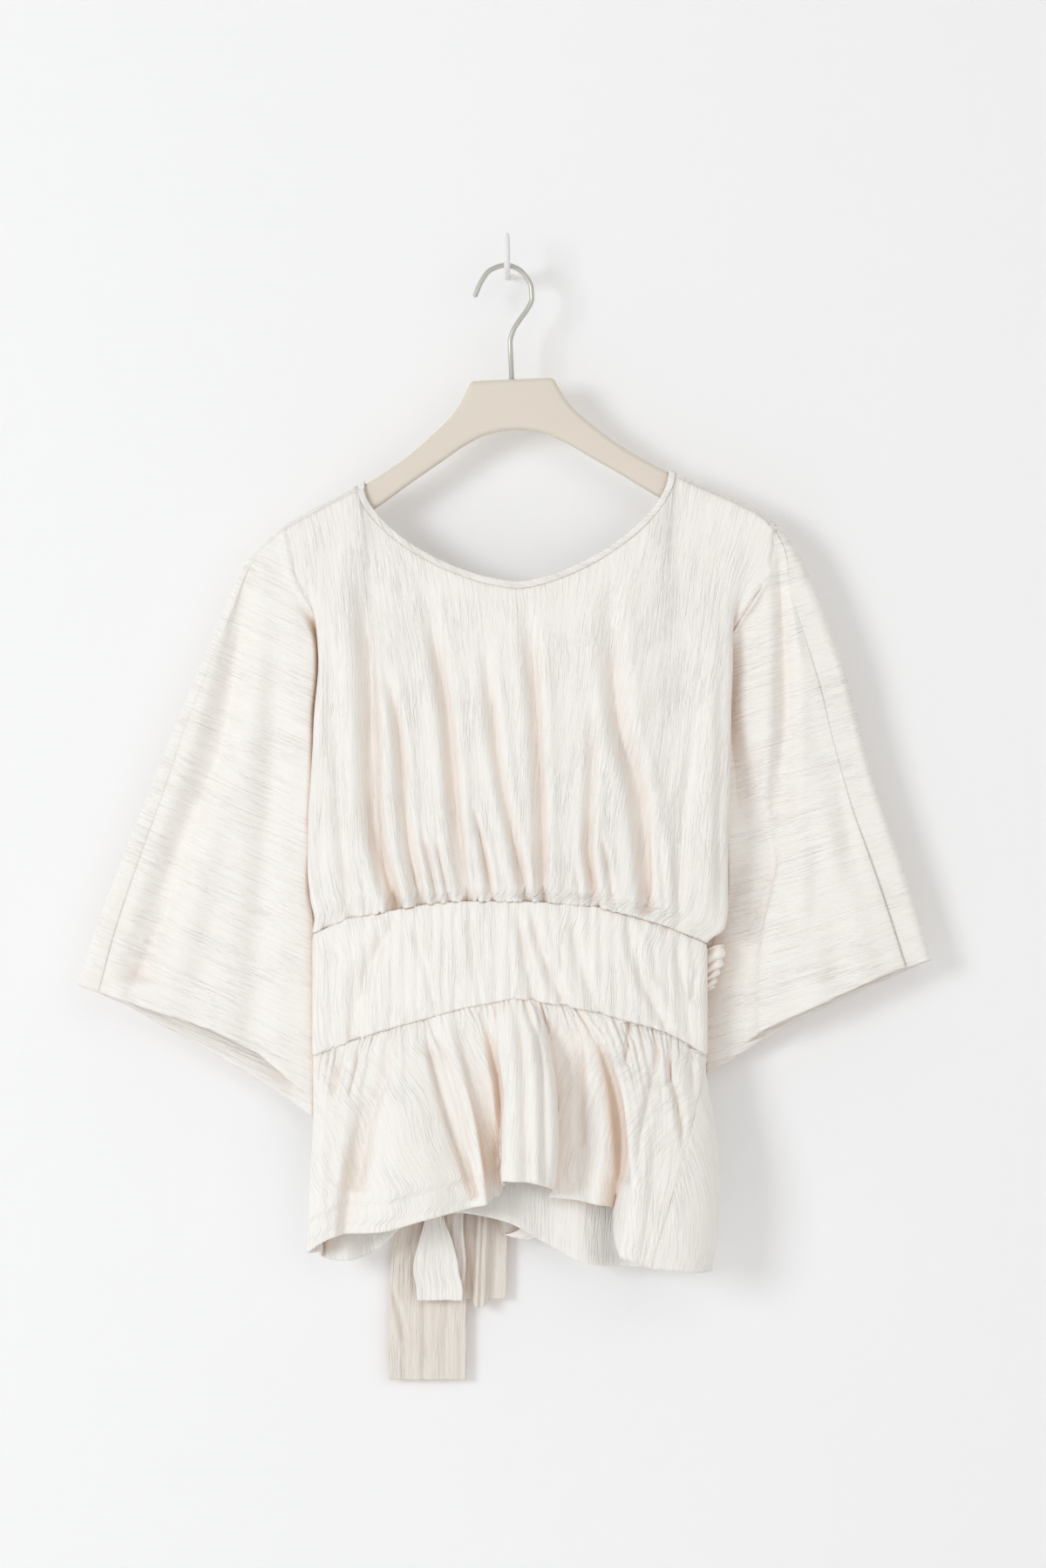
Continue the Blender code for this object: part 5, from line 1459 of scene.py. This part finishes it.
S_FRONT = fine([0, TURN_SHARE, FRONT_NECK[0], FRONT_NECK[1], 1 - TURN_SHARE, 1], (10, 26, 226, 26, 10))
V_FRONT = fine([0, 0.06, UNDERARM_V, 1], (7, 52, 46))
U_FRONT = fine([0, 0.12, 0.9, 1], (12, 38, 10))
W_FRONT = fine([0.5, 0.93, 1], (34, 14))[1:]
ROLL_ROWS = 15
S_BACK = fine([0, BACK_NECK[0], BACK_NECK[1], 1], (14, 150, 14))
V_BACK = fine([-1, 0, UNDERARM_V, 1], (ROLL_ROWS, 44, 36))
U_BACK = fine([0, 0.12, 0.86, 1], (8, 30, 14))
W_BACK = fine([0.5, 0.93, 1], (30, 10))[1:]
neck_columns = [int(np.abs(S_BACK - n).argmin()) for n in BACK_NECK]
panel_mesh(
    "front_cloth", front_body_shown, front_sleeve, "seam", front_body_relief, front_sleeve_relief,
    front_threads, S_FRONT, V_FRONT, U_FRONT, W_FRONT, "front",
)
panel_mesh(
    "back_cloth", back_body, back_sleeve, "strip", back_body_relief, back_sleeve_relief,
    back_threads, S_BACK, V_BACK, U_BACK, W_BACK, "back", (ROLL_ROWS - 1, *neck_columns),
)


def simple(name, place, columns, rows, relief, node, material=COTTON):
    """A sheet of cloth over a whole grid, with its relief; columns is a count or the columns themselves."""
    s = np.linspace(0, 1, columns) if np.isscalar(columns) else columns
    v = np.linspace(0, 1, rows)
    base = grid(place, s, v)
    ss, vv = np.meshgrid(s, v)
    base = base + normals(base) * relief(ss, vv, base)[..., None]
    index = np.arange(ss.size).reshape(ss.shape)
    shown(name, base.reshape(-1, 3), quads(index), arc_lengths(base).reshape(-1, 2), node, material)


# Waistband, with creases as those of the front

BAND_HEIGHT = 88
BAND_CREASES = table(
    CREASE,
    (-89, -508, -104, -535, -117, -560, -127, -606, 6.5, 7.5, 3.4),
    (-78, -508, -71, -535, -64, -560, -57, -590, 2.6, 2.6, 1.2),
    (-33, -503, -30, -530, -26, -556, -22, -584, 2.6, 2.6, 1.2),
    (5, -500, 9, -525, 13, -548, 18, -577, 4.0, 4.0, 2.6),
    (14, -500, 20, -522, 27, -544, 43, -581, 4.0, 4.4, 2.6),
    (46, -503, 52, -535, 58, -556, 69, -587, 5.0, 5.0, 1.8),
    (92, -508, 96, -532, 102, -556, 122, -598, 4.0, 4.4, 2.2),
    (128, -518, 133, -545, 138, -570, 141, -604, 4.0, 3.6, 1.4),
    (-140, -520, -139, -550, -140, -580, -142, -612, 4.0, 4.0, 1.4),
    (150, -546, 149, -556, 147, -564, 146, -576, 2.6, 2.6, 2.8),
)


def band_relief(s, v, base):
    """Crinkles that lean a little, creases, and small gathers along both seams."""
    t = across_face(s)
    face = ease((1 - np.abs(2 * t - 1)) / 0.05)
    x, z = base[..., 0], base[..., 2]
    top, bottom = v * BAND_HEIGHT, (1 - v) * BAND_HEIGHT
    out = 0.85 * crinkle(81, x + 500 + 0.12 * x * (z + 555) / 150, z) - creases(BAND_CREASES, x, z)
    at_top = puckers(33, x, top, LARGE_GATHERS, 1.0, 22.0) * ease(top / 4)
    out += at_top + puckers(35, x, bottom, 8.0, 1.0, 9.0)
    edge_step = 0.8 * ease((bottom + 0.5) / 2.5) * ease(top / 6)
    return out * face * ease(np.minimum(top, bottom + 3) / 5) + edge_step


def band_back_relief(s, v, base):
    wrinkles = 0.8 * crinkle(91, base[..., 0] + 900, base[..., 2])
    return -wrinkles * ease(np.minimum(v, 1 - v) / 0.08)


S_BAND = fine([0, TURN_SHARE, 1 - TURN_SHARE, 1], (10, 190, 10))
simple("band_front_cloth", band_front, S_BAND, 50, band_relief, "band_front")
simple("band_back_cloth", band_back, 150, 40, band_back_relief, "band_back")

# Peplum, with folds as the creases of the front

PEPLUM_WIDTH, PEPLUM_DROP = 520, 165
PEPLUM_CREASES = table(
    CREASE,
    (-98, -604, -98, -632, -110, -662, -124, -724, 4.0, 6.5, 3.0),
    (-132, -614, -133, -624, -135, -634, -138, -648, 2.4, 2.4, 2.0),
    (-120, -612, -119, -624, -121, -634, -125, -650, 2.4, 2.4, 2.0),
    (-67, -593, -60, -628, -46, -678, -28, -730, 2.4, 3.6, 3.4),
    (-43, -590, -32, -634, -20, -684, -12, -736, 5.0, 7.5, 4.0),
    (-24, -583, -15, -613, -8, -648, -6, -700, 3.0, 3.0, 2.6),
    (7, -583, 10, -620, 12, -656, 13, -715, 3.0, 4.0, 2.6),
    (14, -583, 23, -606, 27, -642, 28, -715, 3.0, 3.4, 2.4),
    (50, -583, 54, -606, 56, -640, 56, -690, 3.0, 3.0, 1.8),
    (67, -586, 76, -618, 84, -650, 90, -716, 3.4, 4.0, 3.4),
    (95, -593, 94, -604, 93, -612, 92, -624, 2.2, 2.2, 2.0),
    (118, -600, 114, -632, 107, -662, 99, -704, 3.2, 3.6, 2.0),
    (126, -604, 127, -632, 132, -656, 138, -688, 2.8, 3.2, 2.8),
    (143, -611, 146, -639, 149, -664, 150, -712, 3.0, 3.2, 1.8),
)


def peplum_relief(seed, sign, rows=None):
    """Gathers below the band, creases, crinkles and the hem; sign is the way that the piece faces."""
    def relief(s, v, base):
        d, along = v * PEPLUM_DROP, s * PEPLUM_WIDTH
        side = ease(np.minimum(s, 1 - s) / 0.03)
        out = puckers(seed, along, d, 6.4, 2.0, 14.0)
        out = out + puckers(seed + 2, along, d, 12.5, 3.0, 34.0) * ease(d / 5)
        out = out * side * ease(d / 2)
        if rows:
            out -= creases(rows, base[..., 0], base[..., 2]) * side
        out += 0.85 * crinkle(seed + 5, along, v * 170) * (0.3 + 0.7 * ease(d / 20)) * ease(d / 2)
        return sign * (out + hem((1 - v) * PEPLUM_DROP, PEPLUM_HEM))
    return relief


simple("peplum_front_cloth", peplum_front, 420, 84, peplum_relief(101, 1, PEPLUM_CREASES), "peplum_front")
simple("peplum_back_cloth", peplum_back, 330, 64, peplum_relief(121, -1), "peplum_back")

# Neck binding: a soft rolled strip round both necklines

FRONT_STATIONS, BACK_STATIONS, ROLL_STATIONS, RAILS = 180, 150, 16, 9


def ring(grow):
    """Stations right round one line of the binding: grow 0 is its inner edge."""
    t = np.linspace(0, 1, FRONT_STATIONS)
    fx, fz = neck_curve("seam", np.full(t.shape, grow), t)
    t = np.linspace(1, 0, BACK_STATIONS)
    bx, bz = neck_curve("strip", np.full(t.shape, grow), t)
    rolls = []
    for side, (start, end) in ((1, (-1, -0.04)), (-1, (-0.04, -1))):
        rows = np.linspace(start, end, ROLL_STATIONS)
        x, _ = neck_curve("strip", np.full(rows.shape, grow), np.full(rows.shape, 0.5 + side / 2))
        rolls.append(np.stack(back_place(*over_shoulder(side, x, -rows)), axis=-1))
    on_front, on_back = (fx, front_depth(fx, fz), fz), back_place(bx, bz)
    return np.concatenate([np.stack(on_front, axis=-1), rolls[0], np.stack(on_back, axis=-1), rolls[1]])


rails = np.stack([ring(g) for g in np.linspace(0, BINDING, RAILS)])
closed = np.concatenate([rails, rails[:, :1]], axis=1)
lengths = arc_lengths(closed)
bow = np.sin(math.pi * np.linspace(0, 1, RAILS)) ** 0.6
n = normals(closed)
for i in (0, -1):
    n[:, i] = (n[:, 0] + n[:, -1]) / 2
middle = RAILS // 2
outward = np.sign(n[middle, FRONT_STATIONS // 2, 1]) * -1
along = lengths[middle, :, 0]
swell = 0.9 + 0.1 * noise(151, along / 9, along * 0)
closed = closed + n * outward * (bow[:, None] * swell * 0.45)[..., None]
index = np.arange(closed.shape[0] * closed.shape[1]).reshape(closed.shape[:2])
uv_index = index.copy()
index[:, -1] = index[:, 0]
shown(
    "neck_binding_cloth", closed.reshape(-1, 3), quads(index), lengths.reshape(-1, 2), "neck_binding", COTTON,
    quads(uv_index),
)

# Ties, with creases as those of the front

TAIL_CREASES = table(
    CREASE,
    (-97, -796, -95, -812, -89, -828, -84, -850, 2.4, 2.4, 2.2),
    (-84, -850, -83, -860, -84, -870, -83, -884, 2.0, 2.0, 1.4),
    (-52, -740, -52, -790, -50, -830, -51, -884, 3.0, 3.0, 1.2),
    (-66, -760, -67, -800, -68, -840, -68, -884, 2.4, 2.4, 1.4),
)


def tie_place(name, route, upright):
    """A stretch of a tie, with the folds that are its own."""
    def place(s, v):
        x, y, z = strip(route, upright, s, v)
        if name == "tie_right_cloth":
            root = ease((x - 150) / 18)
            x, z = x - 9 * ease((-z - 546) / 34) * root, z + 4.5 * root
        if name == "bow_loop_right_cloth":
            y = y - 6 * np.exp(-((s / 0.13) ** 2)) * ease((v - 0.55) / 0.06)
            z = z - 4 * np.sin(math.pi * s) * ease((-z - 735) / 25)
        if name == "bow_tail_right_cloth":
            fold = np.exp(-(((s - 0.44) / 0.15) ** 6)) * ease(v / 0.3)
            y, z = y - 8.0 * fold, z - 6 * fold * ease((v - 0.9) / 0.1)
        return x, y, z
    return place


def tie_relief(name, seed, length, pleat):
    def relief(s, v, base):
        across = s * TIE_WIDTH
        out = 1.3 * crinkle(seed, across * 1.6, v * length)
        wander = 6 * noise(seed + 7, v * length / 40, s * 0)
        out += puckers(seed, across + wander, s * 0, 13.5, 2.6 * pleat, 60.0)
        if name == "bow_tail_left_cloth":
            out -= creases(TAIL_CREASES, base[..., 0], base[..., 2])
        if name == "bow_tail_right_cloth":
            out -= 2.2 * np.exp(-(((s - 0.44) / 0.03) ** 2))
        rim = np.minimum(s, 1 - s)
        return out * ease(rim / 0.05) * 0.9 + 0.4 * np.exp(-(((rim - 0.03) / 0.025) ** 2))
    return relief


TIE_COLUMNS = 50
for name, route, upright, length, rows, pleat, node in (
    ("tie_left_cloth", TIE_LEFT, True, 130, 90, 1.0, "tie_left"),
    ("tie_right_cloth", TIE_RIGHT, True, 190, 140, 1.7, "tie_right"),
    ("bow_loop_left_cloth", LOOP_LEFT, False, 480, 260, 0.3, "bow_loop_left"),
    ("bow_loop_right_cloth", LOOP_RIGHT, False, 390, 230, 0.3, "bow_loop_right"),
    ("bow_tail_left_cloth", TAIL_LEFT, False, 320, 200, 0.45, "bow_tail_left"),
    ("bow_tail_right_cloth", TAIL_RIGHT, False, 260, 160, 0.2, "bow_tail_right"),
):
    seed = len(name) * 7
    # The tails take the cotton painted darker as shade
    colour = SHADED_TAIL_COTTON if "tail" in name else COTTON
    place, relief = tie_place(name, route, upright), tie_relief(name, seed, length, pleat)
    simple(name, place, TIE_COLUMNS, rows, relief, node, colour)

# Knot: the tie wrapped round itself

ks, kv = np.meshgrid(np.linspace(0, 2 * math.pi, 73)[:-1], np.linspace(0.001, math.pi - 0.001, 40))
squash = np.sign(np.sin(ks)) * np.abs(np.sin(ks)) ** 0.8
waist = 1 - 0.1 * np.exp(-((np.cos(kv) / 0.35) ** 2))
kx = KNOT["x"] + KNOT["width"] / 2 * np.cos(ks) * np.sin(kv) ** 0.7 * waist
ky = KNOT["y"] + KNOT["depth"] / 2 * squash * np.sin(kv) ** 0.6
kz = KNOT["z"] + KNOT["height"] / 2 * np.sign(np.cos(kv)) * np.abs(np.cos(kv)) ** 0.8
wraps = 0.7 * np.cos(5 * kv + 1.2 * np.sin(ks)) + 0.4 * crinkle(171, kz * 3 + 500, ks * 20)
size = np.hypot(kx - KNOT["x"], (ky - KNOT["y"]) * 1.5) + 1e-6
kx, ky = kx + wraps * (kx - KNOT["x"]) / size * 0.8, ky + wraps * (ky - KNOT["y"]) / size * 0.8
knot_points = np.stack([kx, ky, kz], axis=-1)
index = np.arange(ks.size).reshape(ks.shape)
index = np.concatenate([index, index[:, :1]], axis=1)
knot_faces = quads(index).tolist() + [index[0, :-1].tolist(), index[-1, :-1][::-1].tolist()]
knot_uv = np.stack([ks * 15, kz], axis=-1).reshape(-1, 2)
mesh = bpy.data.meshes.new("bow_knot_cloth")
mesh.from_pydata((knot_points.reshape(-1, 3) * MM).tolist(), [], knot_faces)
layer = mesh.uv_layers.new(name="cloth")
loops = np.empty(len(mesh.loops), np.int32)
mesh.loops.foreach_get("vertex_index", loops)
layer.data.foreach_set("uv", (knot_uv[loops] * MM).astype(np.float32).ravel())
facing_out(mesh)
mesh.shade_smooth()
mesh.materials.append(COTTON)
declared(linked("bow_knot_cloth", mesh), "bow_knot")

# Hanger, its hook and the wall hook


def coated(name, base, roughness, metallic, fleck, fleck_scale, bump_size, coat=0.0):
    """Lacquer, metal or paint with faint flecks, darker by fleck."""
    material, tree, shader = new_material(
        name, Roughness=roughness, Metallic=metallic, Coat_Weight=coat, Coat_Roughness=0.35
    )
    mapping = add(tree, "Mapping", Vector=add(tree, "TexCoord").outputs["Object"], Scale=(1, 3, 9))
    drawn_out = mapping.outputs["Vector"]
    flecks = add(tree, "TexNoise", Vector=drawn_out, Scale=fleck_scale, Detail=5).outputs["Fac"]
    ramp = add(tree, "ValToRGB", Fac=flecks)
    shades = ((0.35, [c * fleck for c in base]), (0.65, base))
    for stop, (position, colour) in zip(ramp.color_ramp.elements, shades):
        stop.position, stop.color = position, (*colour, 1)
    bump = add(tree, "Bump", Strength=0.25, Distance=bump_size, Height=flecks)
    fed(tree, shader, Base_Color=ramp.outputs["Color"], Normal=bump.outputs["Normal"])
    return material


WOOD = coated("pale_lacquered_wood", (0.745, 0.675, 0.585), 0.5, 0.0, 0.985, 60, 0.00005, 0.15)
STEEL = coated("satin_wire", (0.58, 0.575, 0.52), 0.38, 0.75, 0.93, 400, 0.00002)
WHITE = coated("white_paint", (0.80, 0.80, 0.79), 0.42, 0.0, 0.97, 300, 0.00003)


def turned_frame(out, y, rise):
    """A place given in the tilted hanger's own frame, in metres."""
    c, s = math.cos(ROLL_OF_HANGER), math.sin(ROLL_OF_HANGER)
    return Vector(((out * c - rise * s) * MM, y * MM, (out * s + rise * c) * MM))


def tube(name, route, radii, node, material, sides=20):
    """A round bar along a route."""
    points = [Vector(p) for p in route]
    tangents = [(b - a).normalized() for a, b in zip(points[:1] + points[:-1], points[1:] + points[-1:])]
    side = Vector((0, 1, 0)) if abs(tangents[0].y) < 0.9 else Vector((1, 0, 0))
    angles = np.linspace(0, 2 * math.pi, sides + 1)[:-1]
    places = []
    for p, t, r in zip(points, tangents, radii):
        side = (side - t * side.dot(t)).normalized()
        other = t.cross(side)
        places += [p + (side * math.cos(a) + other * math.sin(a)) * r for a in angles]
    faces = []
    for i in range(0, len(places) - sides, sides):
        for a, b in zip(range(sides), [*range(1, sides), 0]):
            faces.append((i + a, i + b, i + sides + b, i + sides + a))
    faces += [tuple(range(sides))[::-1], tuple(range(len(places) - sides, len(places)))]
    mesh = bpy.data.meshes.new(name)
    mesh.from_pydata(places, [], faces)
    facing_out(mesh)
    mesh.shade_smooth()
    mesh.materials.append(material)
    declared(linked(name, mesh), node)


def domed(route, radius, steps=6):
    """Adds a rounded start to a route, and gives each place its radius."""
    first, second = Vector(route[0]), Vector(route[1])
    back_way = (first - second).normalized()
    angles = np.linspace(math.pi / 2 * 0.96, 0, steps)
    places = [first + back_way * radius * math.sin(a) * 0.9 for a in angles] + [Vector(p) for p in route[1:]]
    return places, [radius * math.cos(a) for a in angles] + [radius] * (len(route) - 1)


at = np.concatenate([[0], np.cumsum(np.hypot(np.diff(HOOK_ROUTE["out"]), np.diff(HOOK_ROUTE["rise"])))])
stops = np.concatenate([np.linspace(0, at[-2], 110), [at[-1]]])
outs, rises = (follow(at, HOOK_ROUTE[n], stops) for n in ("out", "rise"))
route, radii = domed([turned_frame(a, HANGER_Y, b) for a, b in zip(outs, rises)], WIRE / 2 * MM)
tube("hanger_wire_bar", route, radii, "hanger_wire", STEEL)

# Wall hook: where its shank bends up, how high it ends and how it tapers

REACH, RISE, BEND = 43.0, 29.0, 6.5
angles = np.linspace(0, math.pi / 2, 9)
bend = [(-REACH + BEND - BEND * math.sin(a), BEND - BEND * math.cos(a)) for a in angles]
shank = [(0, 0), (-12, 0), (-28, 0)] + bend + [(-REACH, z) for z in (10, 16, 22, 26, 28, 28.7, RISE)]
taper = [1] * 13 + [0.97, 0.9, 0.8, 0.62, 0.4, 0.1]
route = [(0, y * MM, z * MM) for y, z in shank]
tube("wall_hook_bar", route, [SHANK / 2 * MM * k for k in taper], "wall_hook", WHITE)

# Wooden hanger: its outline with a smooth round-over


def hanger_outline():
    upper = [(a, -b) for a, b in zip(HANGER["out"], HANGER["top"])]
    lower = [(a, -b) for a, b in zip(HANGER["out"], HANGER["bottom"])]
    ends = [(HANGER_TIP_OUT, -(HANGER["top"][-1] + 6.5)), (HANGER_TIP_OUT - 2, -(HANGER["bottom"][-1] - 1.5))]
    half = upper[1:] + ends + lower[::-1][:-1]
    return half + [(0, lower[0][1])] + [(-a, b) for a, b in half[::-1]]


def smooth_outline(points, rounds):
    """Cuts the corners of a closed outline, so many times over."""
    for _ in range(rounds):
        finer = []
        for p, q in zip(points, points[1:] + points[:1]):
            for k in (0.75, 0.25):
                finer.append((p[0] * k + q[0] * (1 - k), p[1] * k + q[1] * (1 - k)))
        points = finer
    return points


data = bpy.data.curves.new("hanger_outline", "CURVE")
data.dimensions = "2D"
data.fill_mode = "BOTH"
data.bevel_depth = EDGE_ROUND * MM
data.bevel_resolution = 6
data.offset = -EDGE_ROUND * MM
data.extrude = (HANGER_THICK / 2 - EDGE_ROUND) * MM
line = data.splines.new("POLY")
outline = smooth_outline(hanger_outline(), 2)
line.points.add(len(outline) - 1)
for point, (a, b) in zip(line.points, outline):
    point.co = (a * MM, (PLATE_TOP_Z + b) * MM, 0, 1)
line.use_cyclic_u = True
guide = linked("hanger_outline", data)
guide.rotation_euler = (math.pi / 2, 0, 0)
bpy.context.view_layer.update()
mesh = bpy.data.meshes.new_from_object(guide.evaluated_get(bpy.context.evaluated_depsgraph_get()))
into_place = Matrix.Translation((0, HANGER_Y * MM, 0))
tilt, upright = Matrix.Rotation(-ROLL_OF_HANGER, 4, "Y"), Matrix.Rotation(math.pi / 2, 4, "X")
mesh.transform(into_place @ tilt @ upright)
bpy.data.objects.remove(guide)
facing_out(mesh, 1e-6)
mesh.materials.clear()
mesh.materials.append(WOOD)
mesh.shade_smooth()
mesh.set_sharp_from_angle(angle=math.radians(40))
declared(linked("hanger_wood_body", mesh), "hanger_wood")

# A small ring where the wire enters the plate

socket = [turned_frame(0, HANGER_Y, PLATE_TOP_Z + rise) for rise in (-1.0, 0.4)]
tube("hook_socket", socket, [3.1 * MM, 2.6 * MM], None, STEEL)

# Stage, light and camera

WALL_COLOUR = (0.91, 0.91, 0.915, 1)
wall_material, tree, shader = new_material(
    "wall_paint", Base_Color=WALL_COLOUR, Roughness=0.9, Specular_IOR_Level=0.1
)
# Clear from behind and to the light from there
behind = add(tree, "NewGeometry").outputs["Backfacing"]
lighting = add(tree, "LightPath").outputs["Is Shadow Ray"]
mix = add(tree, "MixShader", Fac=arithmetic(tree, "MAXIMUM", behind, lighting))
tree.links.new(shader.outputs["BSDF"], mix.inputs[1])
tree.links.new(add(tree, "BsdfTransparent").outputs["BSDF"], mix.inputs[2])
output = next(n for n in tree.nodes if n.type == "OUTPUT_MATERIAL")
tree.links.new(mix.outputs["Shader"], output.inputs["Surface"])


def sheet_of(name, corners, material):
    """A flat sheet of the stage."""
    mesh = bpy.data.meshes.new(name)
    mesh.from_pydata(corners, [], [[0, 1, 2, 3]])
    mesh.materials.append(material)
    linked(name, mesh)


HALF, WALL_Y, FLOOR_FRONT, FLOOR_Z, WALL_TOP = 3, 0.0008, -4, -1.45, 1.6
for name, (y_low, z_low), (y_high, z_high) in (
    ("wall", (WALL_Y, FLOOR_Z), (WALL_Y, WALL_TOP)),
    ("floor", (FLOOR_FRONT, FLOOR_Z), (WALL_Y, FLOOR_Z)),
):
    corners = [(-HALF, y_low, z_low), (HALF, y_low, z_low), (HALF, y_high, z_high), (-HALF, y_high, z_high)]
    sheet_of(name, corners, wall_material)
bpy.context.view_layer.update()


def light(name, place, aim, size, power, colour):
    """A rectangular light of so many watts."""
    data = bpy.data.lights.new(name, "AREA")
    data.shape = "RECTANGLE"
    data.size, data.size_y = size
    data.energy = power
    data.color = colour
    obj = linked(name, data)
    obj.location = place
    obj.rotation_euler = (Vector(aim) - Vector(place)).to_track_quat("-Z", "Y").to_euler()


light("key", (-3.0, -3.2, 0.3), (0, 0, -0.45), (1.4, 1.5), 66, (0.96, 1.0, 1.04))
light("fill", (1.8, -2.8, 0.2), (0, 0, -0.5), (2.6, 2.6), 15, (1.0, 0.99, 0.97))
light("front", (0.3, -3.0, 1.3), (0, 0, -0.4), (2.0, 1.2), 5, (1.0, 1.0, 1.0))
light("rear", (-1.0, 2.2, 0.8), (0, 0, -0.5), (1.6, 1.6), 26, (1.0, 0.99, 0.97))
world = bpy.data.worlds.new("room")
bpy.context.scene.world = world
world.use_nodes = True
fed(world.node_tree, world.node_tree.nodes["Background"], Color=(1.0, 0.98, 0.95, 1), Strength=0.52)
bpy.context.scene.view_settings.view_transform = "Standard"

# The camera looks straight on; VIEW_WIDTH is what it sees across at the wall hook's distance
VIEW_X, VIEW_Z, VIEW_WIDTH = 0.0126, -0.4070, 1.2586
DISTANCE = 3.0
SENSOR = 36
camera_data = bpy.data.cameras.new("camera")
camera_data.sensor_width = SENSOR
camera_data.lens = SENSOR * DISTANCE / VIEW_WIDTH
camera = linked("camera", camera_data)
camera.location = (VIEW_X, -DISTANCE, VIEW_Z)
camera.rotation_euler = (math.pi / 2, 0, 0)
bpy.context.scene.camera = camera

bpy.context.view_layer.update()
